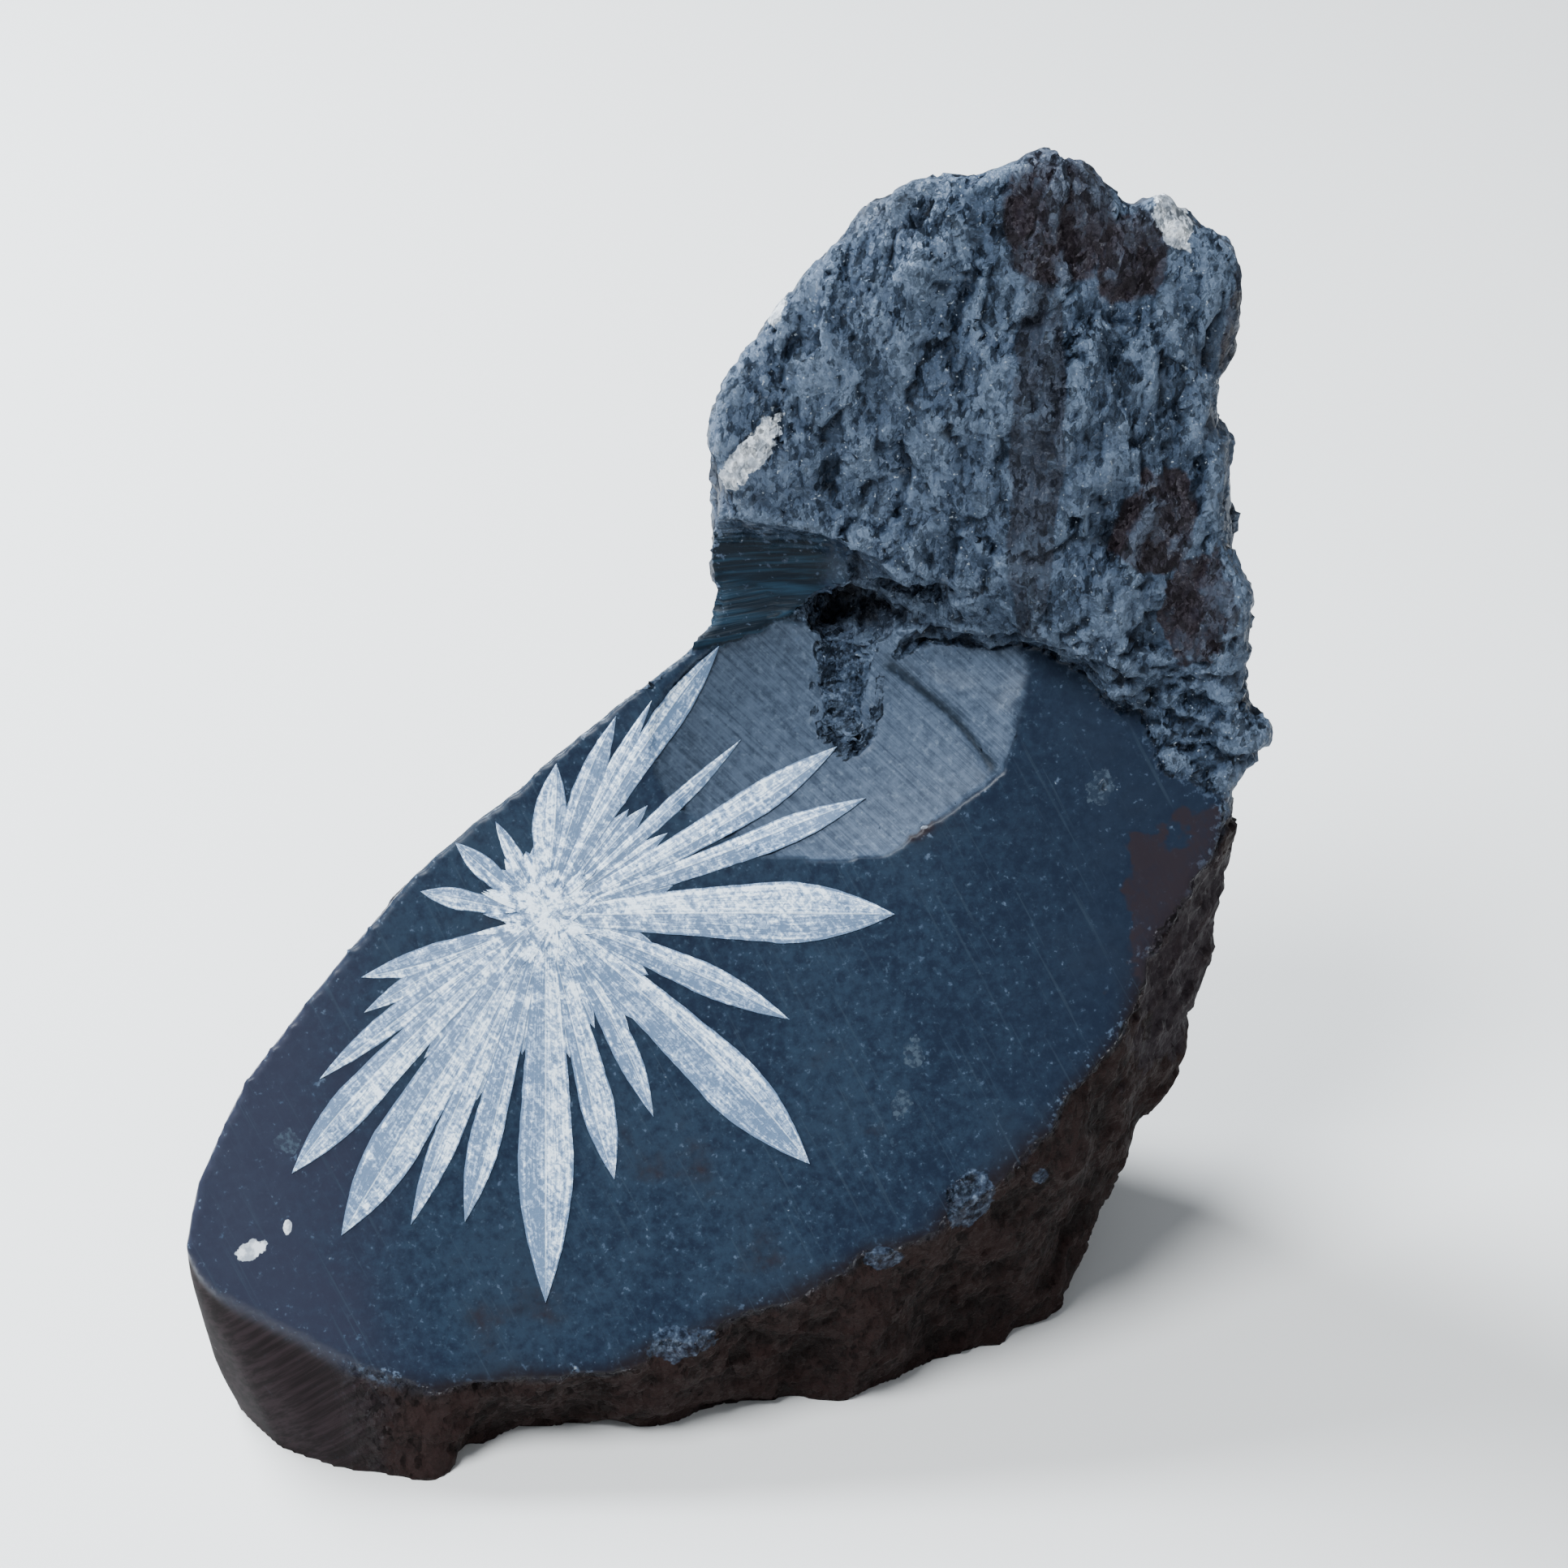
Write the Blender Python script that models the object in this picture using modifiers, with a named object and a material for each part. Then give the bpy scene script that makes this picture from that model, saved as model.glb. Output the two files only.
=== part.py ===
"""Chrysanthemum stone: a natural dark rock, ground flat on its sloping front and on its
foot, with a flower of pale crystals lying flush in the polished face.

The stone is shaped like a boot. The heavy foot lies low on the left and carries the
polished face; the rough leg stands upright on the right. All lengths are millimetres
until the last step, +Z is up and the viewer stands on the -Y side.
"""
import bpy
import bmesh
import math
from mathutils import Vector, Matrix, geometry, noise

MM = 0.001

# Polished face: slope from the ground and the point in which it meets the front rim.
FACE_SLOPE = 55.0
FACE_ORIGIN = (0.0, -30.0, 12.9)

# Rock surface: cell size before the rough relief, and depth of that relief.
CELL = 1.6
LUMP_DEPTH = 1.8
LUMP_SIZE = 13.0
GRAIN_DEPTH = 1.1
GRAIN_SIZE = 5.0
ROCK_TRIANGLES = 4700

# Ground hollow between the face and the leg, and the steeper scoop at its back.
HOLLOW_AT = (11.2, 67.3, 5.5)
HOLLOW_RADII = (25.8, 17.0, 9.0)
SCOOP_AT = (-6.0, 10.1, 84.6)
SCOOP_RADII = (25.0, 9.0, 9.0)

# Crystal flower: centre on the face, depth of the crystals and gap around them.
FLOWER_AT = (-19.0, 48.6)
FLOWER_DEPTH = 4.2
FLOWER_GAP = 0.3
FLOWER_CORE = 6.0

# One crystal a row: direction in degrees, length, widest width, where it is widest.
CRYSTALS = [
    (57.3, 34.2, 3.1, 0.72),
    (42.2, 28.0, 1.8, 0.62),
    (30.2, 36.0, 3.4, 0.70),
    (20.2, 36.4, 3.0, 0.72),
    (0.3, 37.2, 6.6, 0.68),
    (-23.0, 28.2, 3.4, 0.62),
    (-43.2, 38.6, 6.2, 0.68),
    (-61.8, 24.3, 2.7, 0.66),
    (-75.4, 29.0, 3.6, 0.70),
    (-90.0, 41.2, 6.0, 0.62),
    (-104.8, 33.7, 3.4, 0.72),
    (-113.6, 35.9, 2.9, 0.70),
    (-122.6, 40.4, 5.3, 0.72),
    (-134.6, 38.5, 4.1, 0.74),
    (-144.2, 29.7, 2.4, 0.64),
    (-152.0, 21.9, 2.6, 0.62),
    (-161.6, 20.7, 3.0, 0.60),
    (169.0, 13.6, 2.3, 0.66),
    (141.0, 12.4, 2.4, 0.66),
    (118.0, 11.4, 1.8, 0.60),
    (86.0, 16.3, 3.7, 0.60),
    (70.6, 22.6, 2.9, 0.60),
    (63.8, 25.6, 1.9, 0.62),
]


def clear_scene():
    for ob in list(bpy.data.objects):
        bpy.data.objects.remove(ob, do_unlink=True)
    for group in list(bpy.data.collections):
        bpy.data.collections.remove(group)


clear_scene()
stone_group = bpy.data.collections.new("ChrysanthemumStone")
cutter_group = bpy.data.collections.new("Cutters")
bpy.context.scene.collection.children.link(stone_group)
bpy.context.scene.collection.children.link(cutter_group)

SLOPE = math.radians(FACE_SLOPE)
FACE_RIGHT = Vector((1.0, 0.0, 0.0))
FACE_UP = Vector((0.0, math.cos(SLOPE), math.sin(SLOPE)))
FACE_OUT = Vector((0.0, -math.sin(SLOPE), math.cos(SLOPE)))


def on_face(right, up, out=0.0):
    """Point given along the polished face, out from it by a height."""
    return Vector(FACE_ORIGIN) + FACE_RIGHT * right + FACE_UP * up + FACE_OUT * out


def face_frame(right, up, out, turn=0.0):
    """Placement with its z axis square to the polished face, turned about that axis."""
    axes = Matrix((FACE_RIGHT, FACE_UP, FACE_OUT)).transposed().to_4x4()
    return Matrix.Translation(on_face(right, up, out)) @ axes @ Matrix.Rotation(math.radians(turn), 4, "Z")


def object_from(bm, name, group=cutter_group):
    bmesh.ops.recalc_face_normals(bm, faces=bm.faces)
    mesh = bpy.data.meshes.new(name)
    bm.to_mesh(mesh)
    bm.free()
    ob = bpy.data.objects.new(name, mesh)
    group.objects.link(ob)
    if group is cutter_group:
        ob.hide_render = True
        ob.display_type = "WIRE"
    return ob


def hull(name, points):
    """Convex block through the given points."""
    bm = bmesh.new()
    for point in points:
        bm.verts.new(point)
    made = bmesh.ops.convex_hull(bm, input=bm.verts)
    loose = [g for g in made["geom_interior"] + made["geom_unused"] if isinstance(g, bmesh.types.BMVert)]
    bmesh.ops.delete(bm, geom=list(set(loose)), context="VERTS")
    return object_from(bm, name)


def ellipsoid(name, place, radii, divisions=4, rough=0.0):
    """Rounded cutter: a ball stretched to three radii, with an uneven skin if asked for."""
    bm = bmesh.new()
    bmesh.ops.create_icosphere(bm, subdivisions=divisions, radius=1.0)
    for vert in bm.verts:
        swell = 1.0 + rough * noise.noise(vert.co * 2.3 + Vector((3.1, 7.7, 1.9)))
        vert.co = place @ Vector([vert.co[k] * radii[k] * swell for k in range(3)])
    return object_from(bm, name)


def box(name, place, size):
    bm = bmesh.new()
    bmesh.ops.create_cube(bm, size=1.0)
    for vert in bm.verts:
        vert.co = place @ Vector((vert.co.x * size[0], vert.co.y * size[1], vert.co.z * size[2]))
    return object_from(bm, name)


def boolean(target, tool, operation):
    """Keep the result of one exact Boolean as the target's own mesh."""
    mod = target.modifiers.new(operation.title() + " " + tool.name, "BOOLEAN")
    mod.operation = operation
    mod.object = tool
    mod.solver = "EXACT"
    keep_result(target)


def keep_result(ob):
    graph = bpy.context.evaluated_depsgraph_get()
    mesh = bpy.data.meshes.new_from_object(ob.evaluated_get(graph))
    ob.modifiers.clear()
    old = ob.data
    ob.data = mesh
    bpy.data.meshes.remove(old)


def keep_largest(ob):
    """Drop the loose crumbs that a cut can leave beside the main body."""
    bm = bmesh.new()
    bm.from_mesh(ob.data)
    todo = set(bm.verts)
    bodies = []
    while todo:
        body = {todo.pop()}
        front = list(body)
        while front:
            for edge in front.pop().link_edges:
                for vert in edge.verts:
                    if vert not in body:
                        body.add(vert)
                        front.append(vert)
        todo -= body
        bodies.append(body)
    bodies.sort(key=len)
    crumbs = [vert for body in bodies[:-1] for vert in body]
    bmesh.ops.delete(bm, geom=crumbs, context="VERTS")
    bm.to_mesh(ob.data)
    bm.free()


def side_by_side(points, ys):
    return [(x, y, z) for (x, z) in points for y in ys]


# Foot: the heavy lower block behind the polished face.
foot = hull("foot block", [
    on_face(-1.4, 79.8, 4), on_face(-4.9, 77.3, 5), on_face(-18.9, 66.2, 5), on_face(-32.9, 54.4, 5),
    on_face(-43.2, 41.2, 4),
    on_face(-52.0, 30.8, 3), on_face(-56.8, 19.4, 2.4), on_face(-57.8, 12.5, 0.8),
    on_face(44.2, 47.0, 3), on_face(50.9, 56.0, 3), on_face(43.8, 42.4, 2), on_face(37.9, 30.3, 1.0),
    on_face(24.9, 20.0, 1.0), on_face(18.0, 13.9, 1.0), on_face(5.9, 7.8, 0.8), on_face(-5.4, 3.2, 0.5),
    on_face(-11.4, 0.0, 0.5), on_face(-28.0, -0.6, 0.5), on_face(36, 78, 0), on_face(46, 68, 1),
    (-57.5, -21.0, 11.0), (-56.6, -19.0, 6.0), (-53.6, -22.0, -2.0), (-47.4, -28.6, -2.0),
    (-56.5, -8.0, 18.0), (-53.0, -10.0, -2.0), (-49.0, 2.0, -2.0), (-40.0, 12.0, -2.0), (-24.0, 22.0, -2.0),
    (-4.0, 28.0, -2.0), (18.0, 30.0, -2.0), (32.0, 25.0, -2.0), (38.5, 12.0, -2.0), (38.3, -2.0, -2.0),
    (36.0, -7.3, -1.0), (26.9, -14.1, -1.0), (19.7, -18.0, -2.0), (1.8, -21.6, -2.0), (-9.0, -23.0, -2.0),
    (-20.7, -20.5, -2.0), (-51.0, 4.0, 22.0), (-43.0, 14.0, 30.0), (-31.0, 22.0, 38.0), (-18.0, 28.0, 47.0),
    (-6.0, 33.0, 56.0), (20.0, 36.0, 40.0), (40.0, 30.0, 40.0),
    (41.6, 2.0, 9.0), (46.3, 2.0, 18.0), (49.8, 4.0, 26.0), (52.2, 6.0, 34.0), (53.6, 6.0, 48.0),
    (55.6, 6.0, 60.0), (52.0, 22.0, 50.0), (46.0, 24.0, 26.0),
])

# Toe: the ground left end, which reaches forward to a point on the table.
toe = hull("toe block", [
    on_face(-57.4, 12.5, 0.5), on_face(-50.4, 11.0, 0.8), on_face(-42.6, 5.0, 0.5), on_face(-33.0, 2.0, 0.5),
    on_face(-29.4, -0.6, 0.5), (-57.6, -21.0, 12.0), (-56.8, -20.5, 7.0), (-53.8, -22.6, -2.0),
    (-47.4, -29.6, -2.0), (-40.8, -32.5, -2.0), (-32.4, -34.3, -2.0), (-30.4, -33.6, -2.0),
    (-29.0, -30.4, 11.0), (-31.5, -19.5, -2.0), (-28.5, -22.0, 8.0), (-44.0, -14.0, -2.0), (-44.0, -10.0, 24.0),
])

# Leg: the upright block at the right.
leg = hull("leg block", [
    (-0.6, 17.5, 104.0), (3.6, 18.0, 109.4), (9.2, 18.0, 120.0), (12.8, 18.0, 124.6), (18.8, 17.0, 129.4),
    (22.0, 17.0, 131.0), (28.0, 16.0, 131.4), (34.0, 16.0, 132.6), (35.6, 16.5, 131.6), (38.4, 17.0, 128.2),
    (44.4, 17.5, 124.4), (50.0, 18.0, 119.4), (50.2, 18.0, 112.0),
    (-1.2, 17.0, 84.0), (-1.2, 15.5, 76.0), (13.0, 13.0, 84.0), (27.0, 10.5, 90.0), (27.0, 11.0, 112.0),
    (34.0, 12.5, 78.0), (47.0, 10.0, 70.0), (54.0, 7.0, 62.0), (54.9, 8.0, 76.0), (52.8, 9.0, 90.0),
    (51.4, 10.0, 98.0), (47.2, 12.0, 108.0), (12.0, 14.0, 112.0), (2.4, 16.5, 103.0),
    (55.0, 18.0, 74.0), (52.0, 28.0, 72.0), (48.4, 27.0, 98.0), (45.0, 25.0, 115.0), (33.0, 25.0, 125.0),
    (16.0, 25.0, 121.0), (3.6, 25.0, 105.0), (-0.8, 25.0, 97.0), (0.0, 30.0, 84.0), (8.0, 35.0, 80.0),
    (30.0, 37.0, 80.0), (42.0, 35.0, 74.0), (30.0, 34.0, 104.0), (12.0, 33.0, 104.0),
    (2.0, 34.0, 60.0), (36.0, 37.0, 50.0), (50.0, 28.0, 48.0), (54.0, 14.0, 50.0), (0.0, 14.0, 60.0),
    (14.0, 37.5, 50.0), (44.0, 8.0, 52.0),
])

# Small masses that break the outline: the lump at the top right and a ledge below it.
top_lump = hull("top lump", side_by_side([(45.0, 121.4), (49.0, 121.0), (51.4, 118.6), (51.6, 112.6),
                                          (49.8, 109.4), (45.0, 111.0)], (15.0, 21.0)))
side_ledge = hull("side ledge", [(53.5, 4.0, 73.0), (57.4, 8.0, 69.0), (57.2, 10.0, 66.0), (53.5, 5.0, 62.0),
                                 (53.5, 14.0, 72.0), (55.0, 14.0, 64.0)])

rock = foot
for block in (toe, leg, top_lump, side_ledge):
    boolean(rock, block, "UNION")

# Rough relief: even cells first, softened edges, then lumps, split grain and ledges.
remesh = rock.modifiers.new("Even cells", "REMESH")
remesh.mode = "VOXEL"
remesh.voxel_size = CELL
keep_result(rock)
soften = rock.modifiers.new("Soft edges", "SMOOTH")
soften.factor = 0.5
soften.iterations = 3
keep_result(rock)


def smoothstep(low, high, value):
    t = min(max((value - low) / (high - low), 0.0), 1.0)
    return t * t * (3.0 - 2.0 * t)


def roughness_at(p):
    """1 on the broken surface, less on the face's worn left edge and the ground left end."""
    left_end = 1.0 - smoothstep(-46.0, -26.0, p.x)
    front = 1.0 - smoothstep(2.0, 16.0, p.y)
    above_face = abs((p - Vector(FACE_ORIGIN)).dot(FACE_OUT))
    worn_edge = (1.0 - smoothstep(2.0, 9.0, above_face)) * (1.0 - smoothstep(-3.0, 3.0, p.x))
    return (1.0 - 0.9 * left_end * front) * (1.0 - 0.8 * worn_edge)


def relief_at(p):
    q = Vector((p.x, p.y, p.z * 0.72))
    lumps = noise.fractal(q / LUMP_SIZE, 1.0, 2.0, 3)
    grain = noise.fractal(q / GRAIN_SIZE + Vector((9.0, 4.0, 2.0)), 0.8, 2.1, 2)
    split = noise.voronoi(q / (LUMP_SIZE * 0.8))[0]
    facets = (split[1] - split[0]) - 0.35
    return LUMP_DEPTH * lumps + GRAIN_DEPTH * grain - 0.9 * facets


bm = bmesh.new()
bm.from_mesh(rock.data)
bm.normal_update()
moved = [(vert, vert.co + vert.normal * relief_at(vert.co) * roughness_at(vert.co)) for vert in bm.verts]
for vert, place in moved:
    vert.co = place
bm.to_mesh(rock.data)
bm.free()

thin = rock.modifiers.new("Fewer facets", "DECIMATE")
thin.ratio = min(1.0, ROCK_TRIANGLES / sum(len(face.vertices) - 2 for face in rock.data.polygons))
thin.use_collapse_triangulate = True
keep_result(rock)
rock.name = "stone"
rock.data.name = "stone"

# Sawn foot.
boolean(rock, box("ground cut", Matrix.Translation((0, 0, -20.0)), (200, 200, 40.0)), "DIFFERENCE")


def prism(name, outline, low, high, group=cutter_group):
    """Straight-sided block standing on the polished face, from an outline drawn on it."""
    bm = bmesh.new()
    ring = [bm.verts.new(on_face(u, v, low)) for u, v in outline]
    base = bm.faces.new(ring)
    made = bmesh.ops.extrude_face_region(bm, geom=[base])
    top = [g for g in made["geom"] if isinstance(g, bmesh.types.BMVert)]
    bmesh.ops.translate(bm, verts=top, vec=FACE_OUT * (high - low))
    return object_from(bm, name, group)


def face_hull(name, corners):
    return hull(name, [on_face(*corner) for corner in corners])


# Polished face: everything in front of the sloping plane goes, up to the foot of the leg.
FACE_LIMIT = [
    (-95.0, -25.0), (75.0, -25.0), (75.0, 61.0), (55.0, 62.2), (51.5, 62.0), (49.8, 63.4), (47.2, 64.2),
    (46.9, 67.0), (45.6, 70.2), (44.6, 71.8), (42.0, 70.8), (40.6, 73.4), (38.8, 75.6), (37.2, 76.0),
    (33.6, 77.9), (24.0, 78.6), (10.0, 78.2), (-95.0, 78.2),
]
boolean(rock, prism("face cut", FACE_LIMIT, 0.0, 70.0), "DIFFERENCE")

# Ground hollow, steep scoop behind it and the flat strip beside the groove.
boolean(rock, ellipsoid("hollow cut", face_frame(*HOLLOW_AT), HOLLOW_RADII, 3), "DIFFERENCE")
boolean(rock, ellipsoid("scoop cut", Matrix.Translation(SCOOP_AT), SCOOP_RADII, 3), "DIFFERENCE")
boolean(rock, face_hull("strip cut", [
    (17.1, 76.2, -3.3), (28.6, 65.2, -1.9), (29.9, 64.2, 0.0), (31.4, 70.4, 0.0), (33.8, 77.8, 0.1),
    (22.0, 79.0, -2.2), (17.1, 76.2, 5.0), (29.9, 64.2, 5.0), (33.8, 77.8, 4.0), (22.0, 78.0, 4.0),
]), "DIFFERENCE")

# Open pit at the foot of the leg, the slit beside it and the rough channel below it.
boolean(rock, ellipsoid("pit cut", Matrix.Translation((13.4, 16.5, 79.2)), (4.6, 6.5, 3.3), 3, 0.7), "DIFFERENCE")
boolean(rock, ellipsoid("slit cut", Matrix.Translation((20.0, 13.5, 83.6)) @ Matrix.Rotation(-0.25, 4, "Y"),
                        (5.2, 4.6, 1.9), 3, 0.3), "DIFFERENCE")
boolean(rock, face_hull("channel cut", [
    (9.9, 77.5, -4.6), (16.2, 77.0, -4.8), (15.7, 72.4, -4.6), (14.4, 66.6, -4.0), (12.2, 67.2, -4.0),
    (10.4, 70.0, -4.4), (8.8, 78.5, 2.0), (17.4, 78.0, 2.0), (17.0, 72.4, 2.0), (14.8, 65.2, 2.0),
    (11.8, 66.0, 2.0), (9.0, 69.8, 2.0),
]), "DIFFERENCE")

# Notch in the outline under the top lump.
boolean(rock, ellipsoid("notch cut", Matrix.Translation((52.8, 19.0, 105.2)), (3.2, 14.0, 4.8), 2, 0.2), "DIFFERENCE")

# Chips along the front rim and shallow pits in the polish.
for name, place, radii in (
    ("rim chip left", (-5.8, 1.6, 0.7, 12.0), (3.4, 2.0, 1.7)),
    ("rim chip right", (25.8, 19.2, 0.5, 48.0), (4.2, 1.4, 1.6)),
    ("pit in polish", (40.4, 62.4, 0.5, 20.0), (1.7, 2.1, 1.1)),
    ("scuff in polish", (19.8, 31.0, 0.5, -14.0), (0.9, 3.6, 1.0)),
):
    boolean(rock, ellipsoid(name, face_frame(*place), radii, 3, 0.6), "DIFFERENCE")


def crystal_outline(direction, length, width, widest):
    """Outline of one blade-shaped crystal, from its root to its pointed end and back."""
    side = [(widest * part, 0.2 + 0.8 * part ** 0.75) for part in (0.0, 0.35, 0.7)]
    side += [(widest + (1.0 - widest) * part, 1.0 - part ** 1.9) for part in (0.0, 0.34, 0.62, 0.84)]
    turn = math.radians(direction)
    along = Vector((math.cos(turn), math.sin(turn)))
    across = Vector((-along.y, along.x))
    centre = Vector(FLOWER_AT)
    right = [centre + along * length * s - across * 0.5 * width * w for s, w in side]
    left = [centre + along * length * s + across * 0.5 * width * w for s, w in side]
    return right + [centre + along * length] + left[::-1]


def wider(outline, distance):
    """The same outline moved outward by a distance, its corners kept sharp."""
    count = len(outline)
    moved = []
    for i, point in enumerate(outline):
        before = (point - outline[i - 1]).normalized()
        after = (outline[(i + 1) % count] - point).normalized()
        out_before = Vector((before.y, -before.x))
        out_after = Vector((after.y, -after.x))
        moved.append(point + (out_before + out_after) * (distance / (1.0 + out_before.dot(out_after))))
    return moved


def flower_block(name, grow, depth):
    """Round core and all crystals: their outlines joined flat, then raised into one block."""
    centre = Vector(FLOWER_AT)
    outlines = [[centre + Vector((math.cos(a), math.sin(a))) * (FLOWER_CORE + grow)
                 for a in (2.0 * math.pi * i / 28 for i in range(28))]]
    outlines += [wider(crystal_outline(*row), grow) for row in CRYSTALS]
    points = []
    loops = []
    for outline in outlines:
        loops.append(list(range(len(points), len(points) + len(outline))))
        points += outline
    joined = geometry.delaunay_2d_cdt(points, [], loops, 1, 0.02)
    bm = bmesh.new()
    verts = [bm.verts.new(on_face(p.x, p.y, -depth)) for p in joined[0]]
    for corners in joined[2]:
        bm.faces.new([verts[i] for i in corners])
    bmesh.ops.dissolve_limit(bm, angle_limit=0.001, verts=bm.verts, edges=bm.edges)
    made = bmesh.ops.extrude_face_region(bm, geom=bm.faces[:])
    top = [g for g in made["geom"] if isinstance(g, bmesh.types.BMVert)]
    bmesh.ops.translate(bm, verts=top, vec=FACE_OUT * (depth + 3.0))
    return object_from(bm, name)


flower = flower_block("crystal_flower", 0.0, FLOWER_DEPTH)
pocket = flower_block("flower pocket", FLOWER_GAP, FLOWER_DEPTH + FLOWER_GAP)
boolean(flower, rock, "INTERSECT")
boolean(rock, pocket, "DIFFERENCE")
keep_largest(flower)
keep_largest(rock)


# Finish: metres, the origin under the middle of the stone, one material a piece.
ORIGIN_SHIFT = (-0.2, -2.4, 0.0)
for ob in bpy.data.objects:
    ob.data.transform(Matrix.Scale(MM, 4) @ Matrix.Translation(ORIGIN_SHIFT))
    ob.data.update()


def finish_piece(ob, name, colour, roughness):
    for group in list(ob.users_collection):
        group.objects.unlink(ob)
    stone_group.objects.link(ob)
    ob.name = name
    ob.data.name = name
    ob.hide_render = False
    ob.display_type = "TEXTURED"
    material = bpy.data.materials.new(name)
    material.use_nodes = True
    shader = material.node_tree.nodes["Principled BSDF"]
    shader.inputs["Base Color"].default_value = (*colour, 1.0)
    shader.inputs["Roughness"].default_value = roughness
    ob.data.materials.clear()
    ob.data.materials.append(material)


finish_piece(rock, "stone", (0.035, 0.045, 0.06), 0.45)
finish_piece(flower, "crystal_flower", (0.62, 0.66, 0.7), 0.5)
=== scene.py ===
"""Chrysanthemum stone as photographed: the boot-shaped dark rock with its polished face,
ground hollow and broken leg, and the flower of pale crystals set flush in the face."""
import math
import bpy
import bmesh
import numpy as np
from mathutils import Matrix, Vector, noise
from mathutils.bvhtree import BVHTree


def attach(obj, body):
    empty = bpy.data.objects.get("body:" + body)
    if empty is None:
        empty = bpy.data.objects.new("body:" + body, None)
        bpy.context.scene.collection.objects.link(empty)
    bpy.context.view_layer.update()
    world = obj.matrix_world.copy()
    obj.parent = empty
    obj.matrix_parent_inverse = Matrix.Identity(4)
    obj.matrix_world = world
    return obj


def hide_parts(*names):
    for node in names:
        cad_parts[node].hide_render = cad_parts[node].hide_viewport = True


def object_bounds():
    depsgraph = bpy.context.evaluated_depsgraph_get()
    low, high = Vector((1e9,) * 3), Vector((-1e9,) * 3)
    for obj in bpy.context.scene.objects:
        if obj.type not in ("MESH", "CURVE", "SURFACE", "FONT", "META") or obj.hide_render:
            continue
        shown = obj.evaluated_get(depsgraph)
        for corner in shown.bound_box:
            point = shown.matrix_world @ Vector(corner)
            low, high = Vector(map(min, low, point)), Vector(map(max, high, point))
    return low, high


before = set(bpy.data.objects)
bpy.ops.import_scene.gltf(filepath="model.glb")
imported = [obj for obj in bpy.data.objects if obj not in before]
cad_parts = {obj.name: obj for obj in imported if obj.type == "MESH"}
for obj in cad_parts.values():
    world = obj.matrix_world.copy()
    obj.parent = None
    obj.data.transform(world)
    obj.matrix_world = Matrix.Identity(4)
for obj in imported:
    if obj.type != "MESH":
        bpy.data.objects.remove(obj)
cad_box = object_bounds()
MM = 0.001

# Camera: it looks down on the sloping face at the photograph's angle. The stone is about
# 116 mm wide, so a long lens at arm's length gives the photograph's frame.
VIEW_DOWN = 35.0
VIEW_DISTANCE = 355.0 * MM
VIEW_TARGET = Vector((6.2, -2.4, 68.4)) * MM
LENS = 78.0
SENSOR_WIDTH = 36.0
NEAREST_SEEN = 0.01

camera_data = bpy.data.cameras.new("Camera")
camera_data.lens = LENS
camera_data.sensor_width = SENSOR_WIDTH
camera_data.clip_start = NEAREST_SEEN
camera = bpy.data.objects.new("Camera", camera_data)
bpy.context.scene.collection.objects.link(camera)
view_ahead = Vector((0.0, math.cos(math.radians(VIEW_DOWN)), -math.sin(math.radians(VIEW_DOWN))))
camera.location = VIEW_TARGET - view_ahead * VIEW_DISTANCE
camera.rotation_euler = (math.radians(90.0 - VIEW_DOWN), 0.0, 0.0)
bpy.context.scene.camera = camera

# Studio: a pale floor, an even pale world and three soft panels. The strongest stands behind
# the stone to the upper left, so that the hollow and the broken leg catch the light.
STONE_MIDDLE = (0.0, 0.0, 0.06)
WORLD_COLOUR = (0.80, 0.89, 1.0, 1.0)
WORLD_STRENGTH = 0.40
FLOOR_COLOUR = (0.72, 0.70, 0.67, 1.0)
FLOOR_ROUGHNESS = 0.8
FLOOR_REACH = 3.0


def panel(name, place, size, power, colour):
    """Round soft light that looks at the middle of the stone."""
    light = bpy.data.lights.new(name, "AREA")
    light.shape = "DISK"
    light.size = size
    light.energy = power
    light.color = colour
    ob = bpy.data.objects.new(name, light)
    bpy.context.scene.collection.objects.link(ob)
    ob.location = place
    ob.rotation_euler = (Vector(STONE_MIDDLE) - Vector(place)).to_track_quat("-Z", "Y").to_euler()


panel("Window", (-0.42, 0.34, 0.60), 0.34, 21.0, (0.84, 0.92, 1.0))
panel("Overhead", (-0.30, -0.26, 0.76), 0.34, 14.0, (0.88, 0.94, 1.0))
panel("Right bounce", (0.6, -0.25, 0.35), 0.4, 0.6, (0.90, 0.95, 1.0))

world = bpy.data.worlds.new("Studio")
world.use_nodes = True
world.node_tree.nodes["Background"].inputs["Color"].default_value = WORLD_COLOUR
world.node_tree.nodes["Background"].inputs["Strength"].default_value = WORLD_STRENGTH
bpy.context.scene.world = world

floor_mesh = bpy.data.meshes.new("Floor")
floor_bm = bmesh.new()
bmesh.ops.create_grid(floor_bm, x_segments=1, y_segments=1, size=FLOOR_REACH)
floor_bm.to_mesh(floor_mesh)
floor_bm.free()
floor = bpy.data.objects.new("Floor", floor_mesh)
bpy.context.scene.collection.objects.link(floor)
floor_paint = bpy.data.materials.new("Pale floor")
floor_paint.use_nodes = True
floor_shader = floor_paint.node_tree.nodes["Principled BSDF"]
floor_shader.inputs["Base Color"].default_value = FLOOR_COLOUR
floor_shader.inputs["Roughness"].default_value = FLOOR_ROUGHNESS
floor_mesh.materials.append(floor_paint)

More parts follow.
